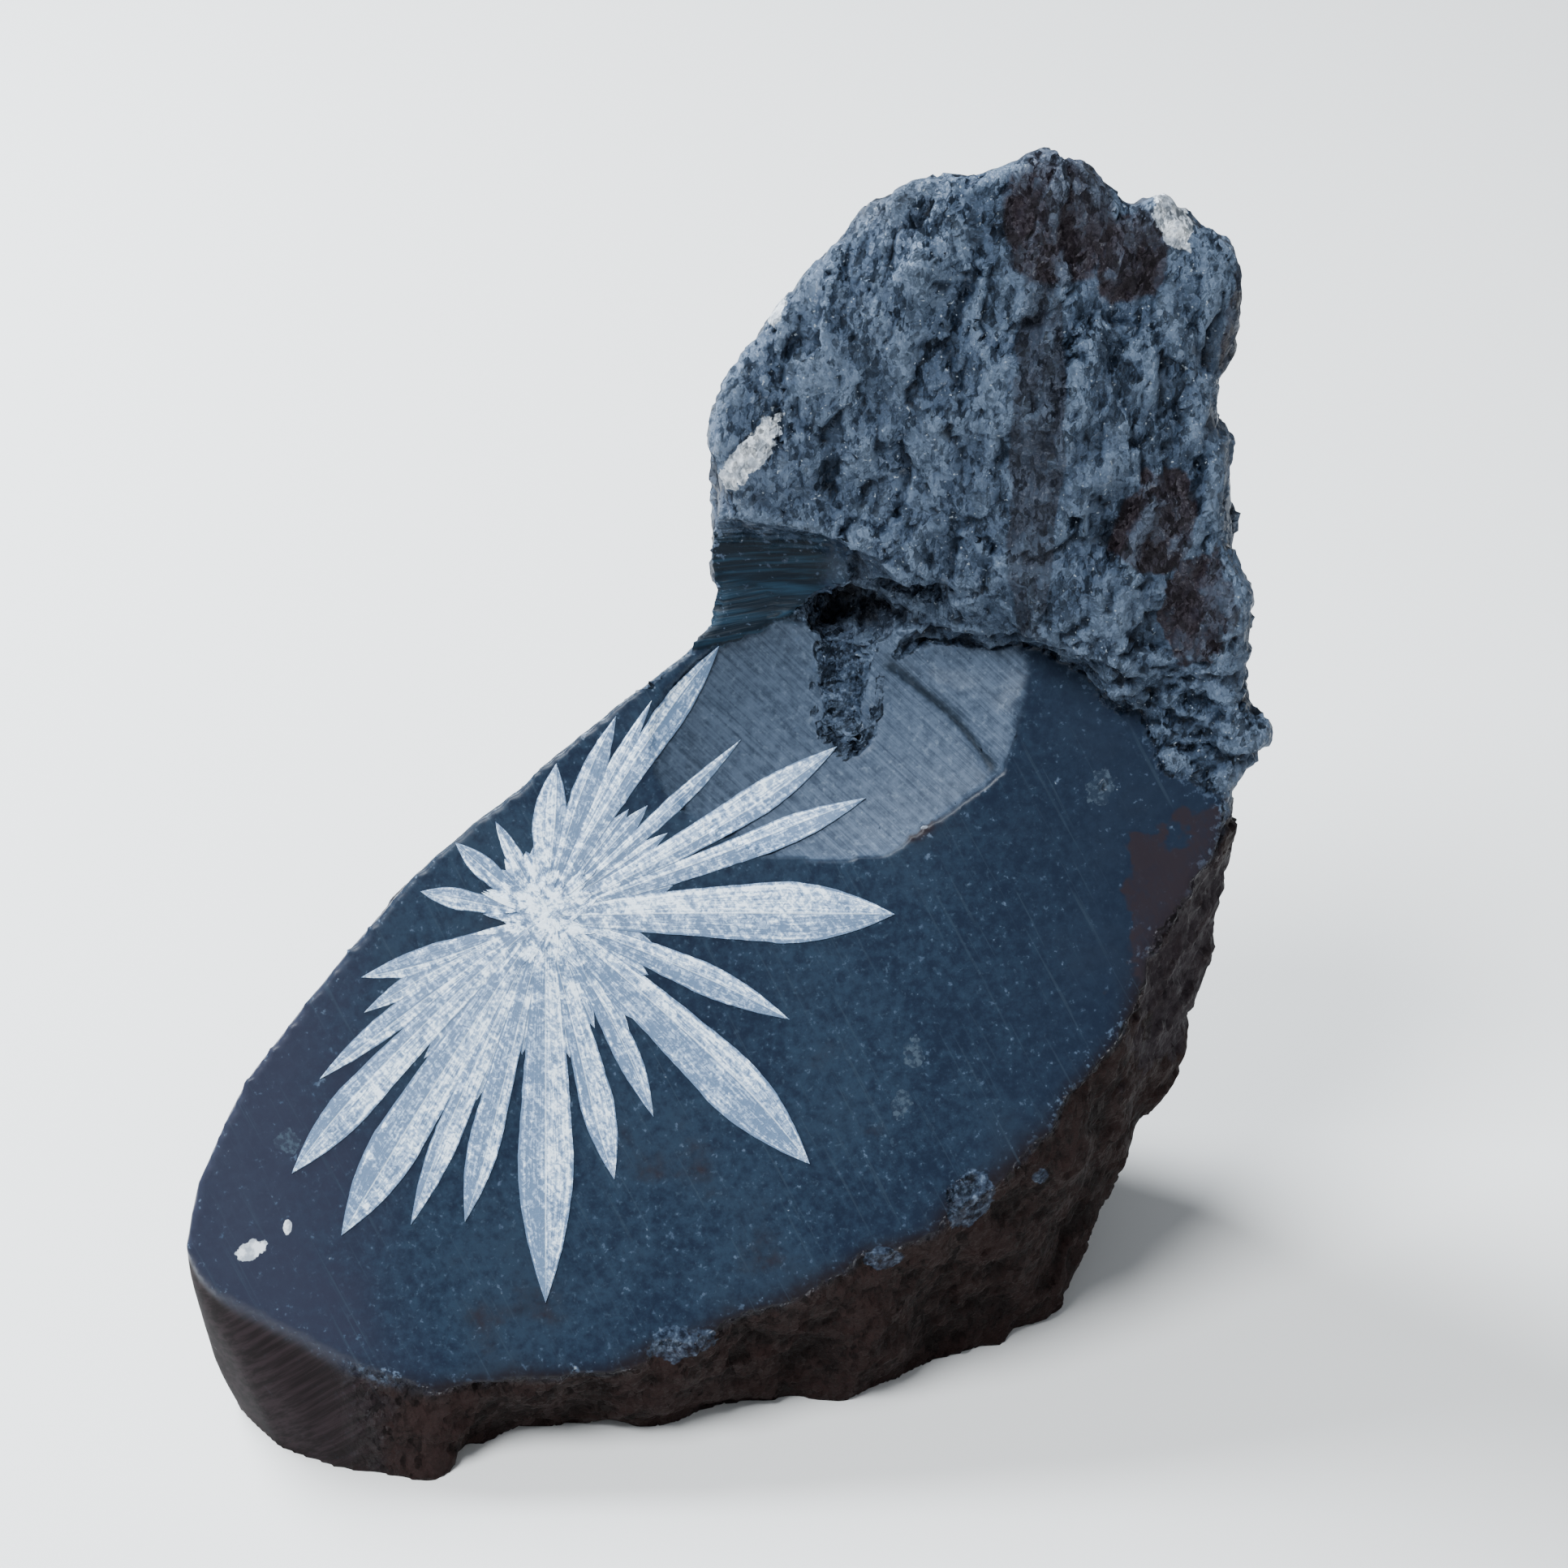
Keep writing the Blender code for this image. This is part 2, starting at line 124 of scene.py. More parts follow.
# Ground surfaces: a real stone like this is cut on a lap wheel and hollowed with a small
# round wheel, so each of its smooth surfaces is a plane or part of a ball. These are their
# places in the frame, the same as in the solid; the rest of the skin is broken rock.
FRAME_SHIFT = Vector((-0.2, -2.4, 0.0))
FACE_ORIGIN = Vector((0.0, -30.0, 12.9)) + FRAME_SHIFT
FACE_SLOPE = math.radians(55.0)
FACE_UP = Vector((0.0, math.cos(FACE_SLOPE), math.sin(FACE_SLOPE)))
FACE_OUT = Vector((0.0, -math.sin(FACE_SLOPE), math.cos(FACE_SLOPE)))
HOLLOW_AT = (11.2, 67.3, 5.5)
HOLLOW_RADII = (25.8, 17.0, 9.0)
SCOOP_AT = Vector((-6.0, 10.1, 84.6)) + FRAME_SHIFT
SCOOP_RADII = Vector((25.0, 9.0, 9.0))


def on_face(right, up, out=0.0):
    """Point in millimetres from its place along the polished face and its height off it."""
    return FACE_ORIGIN + Vector((right, 0.0, 0.0)) + FACE_UP * up + FACE_OUT * out


# The rock: one mass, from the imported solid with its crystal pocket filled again. The skin is
# remade in cells of two thirds of a millimetre, then ground true where it is smooth and split
# into hackly steps where it is broken.
CELL = 0.665
CLOSE_BY = 0.26
SAME_POINT = 0.00002


def evaluated_mesh(ob):
    graph = bpy.context.evaluated_depsgraph_get()
    return bpy.data.meshes.new_from_object(ob.evaluated_get(graph))


def swollen(ob, distance):
    """Move every point of a mesh along its normal, in metres."""
    mesh = ob.data
    co = np.empty(len(mesh.vertices) * 3, np.float32)
    no = np.empty(len(mesh.vertices) * 3, np.float32)
    mesh.vertices.foreach_get("co", co)
    mesh.vertex_normals.foreach_get("vector", no)
    mesh.vertices.foreach_set("co", co + no * distance)
    mesh.update()


rock_bm = bmesh.new()
for node in ("stone", "crystal_flower"):
    part_bm = bmesh.new()
    part_bm.from_mesh(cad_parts[node].data)
    bmesh.ops.remove_doubles(part_bm, verts=part_bm.verts, dist=SAME_POINT)
    part_mesh = bpy.data.meshes.new(node + " copy")
    part_bm.to_mesh(part_mesh)
    part_bm.free()
    rock_bm.from_mesh(part_mesh)
rock_mesh = bpy.data.meshes.new("Rock")
rock_bm.to_mesh(rock_mesh)
rock_bm.free()
rock = bpy.data.objects.new("Rock", rock_mesh)
bpy.context.scene.collection.objects.link(rock)
swollen(rock, CLOSE_BY * MM)
cells = rock.modifiers.new("Cells", "REMESH")
cells.mode = "VOXEL"
cells.voxel_size = CELL * MM
remade = evaluated_mesh(rock)
rock.modifiers.clear()
rock.data = remade
swollen(rock, -CLOSE_BY * MM)


def points_of(mesh):
    co = np.empty(len(mesh.vertices) * 3, np.float32)
    mesh.vertices.foreach_get("co", co)
    return co.reshape(-1, 3).astype(float) / MM


def normals_of(mesh):
    no = np.empty(len(mesh.vertices) * 3, np.float32)
    mesh.vertex_normals.foreach_get("vector", no)
    return no.reshape(-1, 3).astype(float)


def neighbours_of(mesh):
    ends = np.empty(len(mesh.edges) * 2, np.int32)
    mesh.edges.foreach_get("vertices", ends)
    return ends.reshape(-1, 2)


def spread(values, edges, count, rounds):
    """Average each point's value with its neighbours', some rounds of it."""
    share = np.bincount(edges.ravel(), minlength=count).astype(float)
    share = np.maximum(share, 1.0)
    if values.ndim > 1:
        share = share[:, None]
    for _ in range(rounds):
        total = np.zeros_like(values)
        np.add.at(total, edges[:, 0], values[edges[:, 1]])
        np.add.at(total, edges[:, 1], values[edges[:, 0]])
        values = 0.5 * values + 0.5 * total / share
    return values


def step(low, high, value):
    """Smooth step from 0 at low to 1 at high."""
    t = np.clip((value - low) / (high - low), 0.0, 1.0)
    return t * t * (3.0 - 2.0 * t)


def fades(low, high, value):
    """Smooth step down, from 1 at low to 0 at high."""
    return 1.0 - step(low, high, value)


def inside(value, low, high):
    return (value > low) & (value < high)


place = points_of(rock.data)
edges = neighbours_of(rock.data)
count = len(place)
facing = normals_of(rock.data)
up_dir = np.array(FACE_UP)
out_dir = np.array(FACE_OUT)
rel = place - np.array(FACE_ORIGIN)
right_of = rel[:, 0]
up_of = rel @ up_dir
out_of = rel @ out_dir
facing_out = facing @ out_dir

# Which ground surface each point of the skin lies on. A reach is how far off the true surface
# a point may lie, and a facing how squarely it has to look out of the face. Past the crease
# on its right the hollow runs into the face as a flat.
PLANE_REACH = 0.42
PLANE_FACING = 0.86
HOLLOW_REACH = 0.55
HOLLOW_FACING = 0.6
HOLLOW_BELOW = 0.15
SCOOP_REACH = 0.6
SCOOP_RIGHT_END = 13.0
BASE_REACH = 0.35
CREASE_FROM = (14.8, 53.6)
CREASE_RISE = 0.70
CREASE_LEFT_END = 13.0
CREASE_DEPTH = 1.7

hollow_q = np.stack([(right_of - HOLLOW_AT[0]) / HOLLOW_RADII[0],
                     (up_of - HOLLOW_AT[1]) / HOLLOW_RADII[1],
                     (out_of - HOLLOW_AT[2]) / HOLLOW_RADII[2]], 1)
hollow_d = np.linalg.norm(hollow_q, axis=1)
scoop_q = (place - np.array(SCOOP_AT)) / np.array(SCOOP_RADII)
scoop_d = np.linalg.norm(scoop_q, axis=1)
on_plane = (np.abs(out_of) < PLANE_REACH) & (facing_out > PLANE_FACING)
on_hollow = np.abs(hollow_d - 1.0) * HOLLOW_RADII[2] < HOLLOW_REACH
on_hollow &= (out_of < -HOLLOW_BELOW) & (facing_out > HOLLOW_FACING)
on_scoop = np.abs(scoop_d - 1.0) * SCOOP_RADII.y < SCOOP_REACH
on_scoop &= (right_of < SCOOP_RIGHT_END) & ~on_plane & ~on_hollow
on_base = place[:, 2] < BASE_REACH
past_crease = up_of < CREASE_FROM[1] + CREASE_RISE * (right_of - CREASE_FROM[0])
past_crease &= (right_of > CREASE_LEFT_END) & (out_of > -CREASE_DEPTH)
on_plane |= on_hollow & past_crease
on_hollow &= ~on_plane
place[on_plane] -= np.outer(out_of[on_plane], out_dir)
true_q = hollow_q[on_hollow] / hollow_d[on_hollow, None]
true_q = true_q * np.array(HOLLOW_RADII) + np.array(HOLLOW_AT)
place[on_hollow] = (np.array(FACE_ORIGIN) + np.outer(true_q[:, 0], (1.0, 0.0, 0.0))
                    + np.outer(true_q[:, 1], up_dir) + np.outer(true_q[:, 2], out_dir))
pull = scoop_q[on_scoop] / scoop_d[on_scoop, None]
place[on_scoop] = pull * np.array(SCOOP_RADII) + np.array(SCOOP_AT)
place[on_base, 2] = 0.0

# The left end of the foot is ground by hand to a soft round, and the face's upper left edge
# is worn. The rim is the weathered skin under the face, which the material darkens further
# with painted shade, and the strip a step at the hollow's right, which the groove parts from
# it. Pairs are where each of these begins and ends.
LEFT_END_X = (-46.0, -27.0)
LEFT_END_Y = (0.0, 12.0)
WORN_OUT = (1.5, 5.0)
WORN_RIGHT = (-6.0, 0.0)
WORN_UP = (20.0, 30.0)
RIM_BELOW = (0.1, 1.1)
RIM_TOP = (46.0, 70.0)
RIM_BACK = (2.0, 38.0)
STRIP_RIGHT = (17.0, 34.0)
STRIP_UP = (63.5, 79.0)
STRIP_OUT = (-3.8, 0.3)
STRIP_FACING = 0.8
STRIP_CORNER = 92.5

hollow_ground = (on_hollow | on_scoop).astype(float)
left_end = fades(*LEFT_END_X, place[:, 0]) * fades(*LEFT_END_Y, place[:, 1])
worn_edge = fades(*WORN_OUT, np.abs(out_of)) * fades(*WORN_RIGHT, right_of) * step(*WORN_UP, up_of)
left_end = np.maximum(left_end, 0.9 * worn_edge)
rim = step(*RIM_BELOW, -out_of) * fades(*RIM_TOP, place[:, 2]) * fades(*RIM_BACK, place[:, 1])
rim *= 1.0 - hollow_ground
strip = inside(right_of, *STRIP_RIGHT) & inside(up_of, *STRIP_UP) & inside(out_of, *STRIP_OUT)
strip &= (facing_out > STRIP_FACING) & ~on_plane & (right_of + up_of > STRIP_CORNER)
held = on_plane | on_hollow | on_scoop | on_base

# A round groove from the wheel's edge crosses the hollow, and parts the strip from it.
GROOVE_AT = (6.8, 53.4)
GROOVE_RADIUS = 24.8
GROOVE_WIDTH = 0.85
GROOVE_OFFSET = 0.3
GROOVE_TURN = (math.radians(22.0), math.radians(68.0))
GROOVE_FADE = (0.12, 0.1)
GROOVE_NEAR_FACE = 5.0
STRIP_STEP = (0.2, 1.2)
STRIP_END = (4.0, 8.0)

groove_from = np.stack([right_of - GROOVE_AT[0], up_of - GROOVE_AT[1]], 1)
groove_off = np.linalg.norm(groove_from, axis=1) - GROOVE_RADIUS
groove_turn = np.arctan2(groove_from[:, 1], groove_from[:, 0])
groove_part = step(GROOVE_TURN[0], GROOVE_TURN[0] + GROOVE_FADE[0], groove_turn)
groove_part *= fades(GROOVE_TURN[1] - GROOVE_FADE[1], GROOVE_TURN[1], groove_turn)
groove_part *= np.abs(out_of) < GROOVE_NEAR_FACE
groove = groove_part * np.exp(-((groove_off + GROOVE_OFFSET) / GROOVE_WIDTH) ** 2)
strip_rise = groove_part * step(*STRIP_STEP, groove_off) * fades(*STRIP_END, groove_off)
smooth_zone = held | strip

# Soften the solid's facets everywhere but on the true surfaces.
FACET_ROUNDS = 10
for _ in range(FACET_ROUNDS):
    eased = spread(place, edges, count, 1)
    place[~held] = eased[~held]

# The channel: a worn run from the leg down into the hollow, narrower toward its lower end.
# Where the solid's channel is wider than the real one, the hollow's floor is filled again,
# and where the real one is shallower, its floor is raised. Then its sides are softened, with
# the seam between ground and broken skin and the fillet under the leg.
CHANNEL_AT = (13.2, 73.0)
CHANNEL_RADII = (4.6, 9.5)
CHANNEL_BELOW = 0.6
CHANNEL_MIDDLE = 12.9
CHANNEL_HALF_WIDTH = 1.3
CHANNEL_TAPER = 0.18
CHANNEL_LOW_END = 66.2
FILLED_TOP = 77.0
RAISED_TOP = (74.0, 79.0)
RAISED_UNDER = 0.3
RAISED_SHARE = 0.7
FRONT_DEPTH = -9.0
FILLET_RIGHT = (16.5, 37.0)
FILLET_UP = (75.5, 84.0)
FILLET_BELOW = 6.0
SEAM_ROUNDS = 8
SEAM_SHARE = 0.03
SEAM_UP = 60.0
SEAM_RIGHT = 12.0
SOFT_ROUNDS = 26

channel_from = np.hypot((right_of - CHANNEL_AT[0]) / CHANNEL_RADII[0],
                        (up_of - CHANNEL_AT[1]) / CHANNEL_RADII[1])
in_front = out_of > FRONT_DEPTH
worn_channel = (channel_from < 1.0) & (out_of < CHANNEL_BELOW) & in_front
ball_part = (1.0 - ((right_of - HOLLOW_AT[0]) / HOLLOW_RADII[0]) ** 2
             - ((up_of - HOLLOW_AT[1]) / HOLLOW_RADII[1]) ** 2)
hollow_floor = HOLLOW_AT[2] - HOLLOW_RADII[2] * np.sqrt(np.maximum(ball_part, 0.0))
half_width = CHANNEL_HALF_WIDTH + CHANNEL_TAPER * (up_of - CHANNEL_LOW_END)
tapered = np.abs(right_of - CHANNEL_MIDDLE) < half_width
refilled = worn_channel & ~tapered & (up_of < FILLED_TOP) & (hollow_floor > out_of)
missing = np.maximum(hollow_floor - RAISED_UNDER - out_of, 0.0) * worn_channel
missing = missing * fades(*RAISED_TOP, up_of)
place += np.outer(np.where(refilled, hollow_floor - out_of, RAISED_SHARE * missing), out_dir)
worn_channel &= ~refilled
on_hollow |= refilled
smooth_zone |= refilled
fillet = inside(right_of, *FILLET_RIGHT) & inside(up_of, *FILLET_UP)
fillet &= (out_of < FILLET_BELOW) & in_front & ~on_plane
held_near = spread(held.astype(float), edges, count, SEAM_ROUNDS)
seam = ~held & (held_near > SEAM_SHARE) & (up_of > SEAM_UP) & (right_of > SEAM_RIGHT) & in_front
softened = worn_channel | seam | fillet
for _ in range(SOFT_ROUNDS):
    eased = spread(place, edges, count, 1)
    place[softened] = eased[softened]
rock.data.vertices.foreach_set("co", (place * MM).astype(np.float32).ravel())
rock.data.update()
facing = normals_of(rock.data)

# The lump on the top right stands out of the leg's edge behind a hollow of its own.
LUMP_X = (39.5, 45.0)
LUMP_PEAK_X = (46.0, 51.0)
LUMP_Z = (109.0, 121.0)
LUMP_HEIGHT = 3.2
LUMP_FALL = 0.45
LUMP_TIP_X = (50.0, 54.0)
LUMP_TIP_Z = (109.0, 119.0)
LUMP_TIP_IN = 1.0

lump = step(*LUMP_X, place[:, 0]) * (1.0 - LUMP_FALL * step(*LUMP_PEAK_X, place[:, 0]))
lump *= step(*LUMP_Z, place[:, 2])
place[:, 2] += LUMP_HEIGHT * lump
place[:, 0] -= LUMP_TIP_IN * step(*LUMP_TIP_X, place[:, 0]) * step(*LUMP_TIP_Z, place[:, 2])

# Broken stone: the rock splits into small tilted steps, drawn out upward on the leg. Every
# cell of the pattern is a plane of its own tilt, in three sizes, over a fine grain.
STEP_SIZES = ((8.2, 1.15), (3.6, 0.80), (1.8, 0.46))
STEP_TILT = 1.5
STEP_LEVEL = 0.35
SCRAMBLE = (12.9898, 78.233, 37.719)
LEG_FROM = 60.0
LEG_FULL = 20.0
LEG_DRAWN = 0.62
FINE_GRAIN = 0.16
WARPS = ((6.0, 1.5), (1.9, 0.35))
WARP_SEED = 5
LEFT_END_CALM = 0.96
CRUMBLED_SHARE = 0.8
HACKED_Z = (83.0, 91.0)
HACKED_SHARE = 0.45
RIM_CALM = 0.45
HAND_GROUND = (11.0, 0.25)
STRIP_LIFT = 0.55
GROOVE_DEPTH = 0.75
BOX_MARGIN = 0.6

noise.seed_set(WARP_SEED)
broken = (1.0 - smooth_zone.astype(float)) * (1.0 - LEFT_END_CALM * left_end)
broken = spread(broken, edges, count, 2)
crumbled = (channel_from < 0.8) * (out_of < 0.4) * ~refilled * in_front
broken = np.maximum(broken, CRUMBLED_SHARE * crumbled)
hacked_wall = on_scoop * step(*HACKED_Z, place[:, 2])
broken = np.maximum(broken, HACKED_SHARE * hacked_wall)


def tilted_step(q, size, offset):
    """Height of the cell plane that holds a point, between about -0.5 and 0.5."""
    at = q / size + Vector((offset, offset * 0.7, -offset))
    heart = noise.voronoi(at)[1][0]
    tilt = Vector([((heart[k] * prime) % 1.0) - 0.5 for k, prime in enumerate(SCRAMBLE)])
    level = ((heart.x * 5.731 + heart.y * 3.37) % 1.0) - 0.5
    return STEP_TILT * tilt.dot(at - heart) + STEP_LEVEL * level


def relief_at(p):
    """Height of the broken skin's relief at a point, in millimetres."""
    drawn = 1.0 - LEG_DRAWN * min(max((p.z - LEG_FROM) / LEG_FULL, 0.0), 1.0)
    q = p.copy()
    for size, depth in WARPS:
        q += noise.noise_vector(p / size) * depth
    q.z *= drawn
    height = sum(depth * tilted_step(q, size, 3.7 * i) for i, (size, depth) in enumerate(STEP_SIZES))
    return height + FINE_GRAIN * noise.noise(q / 0.9)


relief = np.zeros(count)
for i in np.nonzero(broken > 0.02)[0]:
    relief[i] = relief_at(Vector(place[i]))
relief *= broken * (1.0 - RIM_CALM * rim)
relief = np.where(smooth_zone & ~on_scoop, -np.abs(relief), relief)
relief[on_base] = 0.0
waves = np.array([noise.noise(Vector(p) / HAND_GROUND[0]) for p in place])
relief += left_end * (1.0 - held) * HAND_GROUND[1] * waves
place = place + facing * relief[:, None]
wheel_cut = (STRIP_LIFT * strip_rise - GROOVE_DEPTH * groove) * (on_hollow | strip)
place += np.outer(wheel_cut, out_dir)
low, high = np.array(cad_box[0]) / MM, np.array(cad_box[1]) / MM
place = np.clip(place, low - BOX_MARGIN, high + BOX_MARGIN)
place[:, 2] = np.maximum(place[:, 2], 0.0)
rock.data.vertices.foreach_set("co", (place * MM).astype(np.float32).ravel())
rock.data.update()


def store(mesh, name, values):
    """Keep a value for each point of a mesh, for the material to read by its name."""
    layer = mesh.attributes.new(name, "FLOAT", "POINT")
    layer.data.foreach_set("value", np.asarray(values, np.float32))


# Masks for the material: broken skin, the ground surfaces, the weathered rim (also given
# painted shade), and how deep a point lies in its surroundings, from 0 on a standing edge to 1
# in a crevice. The material turns these depths into painted shade in crevices and hollows and
# painted highlights on standing edges.
WALL_FOOT_UP = 76.6
WALL_FOOT_RIGHT = 16.0
WALL_END = (7.0, 13.5)
MARGIN_ROUNDS = 60
NEAR_ROUNDS = 14
CREVICE_ROUNDS = 6
CREVICE_DEPTH = 0.5
SHELTER_ROUNDS = 40
SHELTER_DEPTH = 1.6

store(rock.data, "broken", broken)
store(rock.data, "hollow", spread((on_hollow | strip).astype(float), edges, count, 1))
wall_foot = on_plane & (up_of > WALL_FOOT_UP) & (right_of < WALL_FOOT_RIGHT)
wall_here = (on_scoop | wall_foot) * fades(*WALL_END, right_of)
store(rock.data, "wall", spread(wall_here, edges, count, 4))
store(rock.data, "heel", left_end * step(0.0, 1.6, -out_of) * (1.0 - worn_edge))
store(rock.data, "groove", np.clip(groove, 0.0, 1.0) * (on_hollow | strip))
rim = np.clip(rim * (1.0 - left_end), 0.0, 1.0)
store(rock.data, "rim", rim)
store(rock.data, "margin", spread(rim, edges, count, MARGIN_ROUNDS))
store(rock.data, "near", spread(broken, edges, count, NEAR_ROUNDS))
eased = spread(place, edges, count, CREVICE_ROUNDS)
depth_in = np.einsum("ij,ij->i", eased - place, normals_of(rock.data))
store(rock.data, "crevice", np.clip(0.5 + depth_in / CREVICE_DEPTH, 0.0, 1.0))
eased = spread(place, edges, count, SHELTER_ROUNDS)
depth_in = np.einsum("ij,ij->i", eased - place, facing)
store(rock.data, "shelter", np.clip(0.5 + depth_in / SHELTER_DEPTH, 0.0, 1.0))
store(rock.data, "hacked", hacked_wall)
rock.data.shade_smooth()


# Node helpers for the stone and the crystals.
def add(tree, kind, **values):
    node = tree.nodes.new(kind)
    for key, value in values.items():
        setattr(node, key, value)
    return node


def put(tree, node, name, value):
    """Set an input to a value, or link it if the value is another node's output."""
    socket = node.inputs[name]
    if isinstance(value, bpy.types.NodeSocket):
        tree.links.new(value, socket)
    else:
        socket.default_value = value


def grain(tree, vector, scale, detail=3.0, rough=0.55, distortion=0.0):
    node = add(tree, "ShaderNodeTexNoise")
    put(tree, node, "Vector", vector)
    put(tree, node, "Scale", scale)
    put(tree, node, "Detail", detail)
    put(tree, node, "Roughness", rough)
    put(tree, node, "Distortion", distortion)
    return node.outputs["Fac"]


def ramp(tree, value, low, high, to_low=0.0, to_high=1.0):
    node = add(tree, "ShaderNodeMapRange", interpolation_type="SMOOTHSTEP")
    for name, amount in (("Value", value), ("From Min", low), ("From Max", high),
                         ("To Min", to_low), ("To Max", to_high)):
        put(tree, node, name, amount)
    return node.outputs["Result"]


def calc(tree, operation, a, b=0.0):
    node = add(tree, "ShaderNodeMath", operation=operation)
    put(tree, node, 0, a)
    put(tree, node, 1, b)
    return node.outputs[0]


def off_half(tree, value, weight):
    """How far a value lies above or below a half, times a weight."""
    return calc(tree, "MULTIPLY", calc(tree, "SUBTRACT", value, 0.5), weight)


def blend(tree, amount, a, b):
    node = add(tree, "ShaderNodeMix", data_type="RGBA", blend_type="MIX", clamp_factor=True)
    for name, value in (("Factor", amount), ("A", a), ("B", b)):
        socket = [s for s in node.inputs if s.name == name and s.enabled][0]
        if isinstance(value, bpy.types.NodeSocket):
            tree.links.new(value, socket)
        elif name == "Factor":
            socket.default_value = value
        else:
            socket.default_value = (*value, 1.0)
    return [s for s in node.outputs if s.enabled][0]


def mapped(tree, vector, scale=(1.0, 1.0, 1.0), turn=(0.0, 0.0, 0.0)):
    node = add(tree, "ShaderNodeMapping")
    put(tree, node, "Vector", vector)
    put(tree, node, "Rotation", turn)
    put(tree, node, "Scale", scale)
    return node.outputs["Vector"]


def kept(tree, name):
    """A value that the mesh keeps for each of its points."""
    return add(tree, "ShaderNodeAttribute", attribute_name=name).outputs["Fac"]


def wheel_lines(tree, vector, turn, fineness, detail, rough):
    """Fine straight marks of grinding: a grain drawn out along one direction after a turn."""
    turned = mapped(tree, vector, turn=turn)
    return grain(tree, mapped(tree, turned, fineness), 1.0, detail, rough)


def ragged_patch_group():
    """Ragged patch of another mineral: a mask around a centre, with sizes along each axis."""
    group = bpy.data.node_groups.new("Ragged patch", "ShaderNodeTree")
    for name, kind in (("Centre", "NodeSocketVector"), ("Size", "NodeSocketVector"),
                       ("Raggedness", "NodeSocketFloat"), ("Grain scale", "NodeSocketFloat"),
                       ("Turn", "NodeSocketFloat")):
        group.interface.new_socket(name, in_out="INPUT", socket_type=kind)
    group.interface.new_socket("Mask", in_out="OUTPUT", socket_type="NodeSocketFloat")
    given = add(group, "NodeGroupInput").outputs
    result = add(group, "NodeGroupOutput")
    coords = add(group, "ShaderNodeTexCoord").outputs["Object"]
    offset = add(group, "ShaderNodeVectorMath", operation="SUBTRACT")
    put(group, offset, 0, coords)
    put(group, offset, 1, given["Centre"])
    turned = add(group, "ShaderNodeVectorRotate", rotation_type="Y_AXIS")
    put(group, turned, "Vector", offset.outputs[0])
    put(group, turned, "Angle", given["Turn"])
    shrunk = add(group, "ShaderNodeVectorMath", operation="DIVIDE")
    put(group, shrunk, 0, turned.outputs[0])
    put(group, shrunk, 1, given["Size"])
    reach = add(group, "ShaderNodeVectorMath", operation="LENGTH")
    put(group, reach, 0, shrunk.outputs[0])
    edge = off_half(group, grain(group, coords, given["Grain scale"]), given["Raggedness"])
    mask = ramp(group, calc(group, "ADD", reach.outputs["Value"], edge), 1.06, 0.94)
    put(group, result, "Mask", mask)
    return group


RAGGED_PATCH = ragged_patch_group()


def patch(tree, centre, size, raggedness=1.2, scale=450.0, turn=0.0):
    node = add(tree, "ShaderNodeGroup", node_tree=RAGGED_PATCH)
    put(tree, node, "Centre", Vector(centre) * MM)
    put(tree, node, "Size", Vector(size) * MM)
    put(tree, node, "Raggedness", raggedness)
    put(tree, node, "Grain scale", scale)
    put(tree, node, "Turn", turn)
    return node.outputs["Mask"]


def largest(tree, masks):
    """One mask from several: at each place the strongest of them."""
    strongest = masks[0]
    for mask in masks[1:]:
        strongest = calc(tree, "MAXIMUM", strongest, mask)
    return strongest


def in_frame(x, y, z):
    return Vector((x, y, z)) + FRAME_SHIFT


# The rock's material: near-black blue limestone, satin where it is lapped, dull grey with
# wheel marks in the hollow, and slate grey with small facets and painted glints where it is
# broken.
# The polish's blues are partly the stone's own and partly painted reflection of the sky.
POLISHED = (0.0075, 0.0125, 0.0245)
POLISHED_PALE = (0.0150, 0.0270, 0.0450)
HAZE = (0.0240, 0.0250, 0.0400)
MARGIN = (0.0090, 0.0065, 0.0075)
GROUND = (0.076, 0.102, 0.146)
GROUND_DARK = (0.028, 0.040, 0.062)
# Painted shade: the wall's colours; the darker one is also the hollow's and the groove's painted shade.
WALL_SHADED = (0.0070, 0.0240, 0.0420)
SHADE_DARK = (0.0016, 0.0052, 0.0100)
BROKEN = (0.036, 0.052, 0.082)
BROKEN_PALE = (0.105, 0.140, 0.195)
BROKEN_DARK = (0.0040, 0.0080, 0.0160)
BAND_SHADE = (0.0200, 0.0230, 0.0330)
RUST = (0.0180, 0.0130, 0.0160)
# The rim's near-black is its brown weathered skin, darkened further with painted shade.
RIM = (0.0040, 0.0016, 0.0012)
RIM_PALE = (0.0150, 0.0070, 0.0060)
HEEL = (0.0150, 0.0085, 0.0095)
CRUST = (0.0260, 0.0270, 0.0310)
CALCITE = (0.66, 0.69, 0.72)
CALCITE_GREY = (0.30, 0.33, 0.37)
PIN_GRAIN = (0.045, 0.070, 0.098)
FLECK = (0.42, 0.45, 0.47)
SCRATCH = (0.030, 0.045, 0.062)
GROUND_GRAIN = (0.18, 0.23, 0.30)
# GLINT is the colour of the painted glints on the broken facets.
GLINT = (0.30, 0.34, 0.38)
SCUFF = (0.042, 0.058, 0.078)
BRUISE = (0.28, 0.34, 0.42)
STONE_SPECULAR = 0.12
FACETS_LARGE = (430.0, 0.9)
FACETS_SMALL = (1150.0, 0.8)
FACETS_TINY = (2300.0, 0.8)
SCRATCH_TURN = math.radians(62.0)
WHEEL_TURN = math.radians(43.0)
WALL_TURN = 0.16
HEEL_TURN = 0.65
BUMP_DEPTH = 0.0006

stone_look = bpy.data.materials.new("Dark limestone")
stone_look.use_nodes = True
tree = stone_look.node_tree
shader = tree.nodes["Principled BSDF"]
shader.inputs["Specular IOR Level"].default_value = STONE_SPECULAR
coords = add(tree, "ShaderNodeTexCoord").outputs["Object"]
broken_mask = kept(tree, "broken")
hollow_mask = kept(tree, "hollow")
wall_mask = kept(tree, "wall")
rim_mask = kept(tree, "rim")
crevice = kept(tree, "crevice")


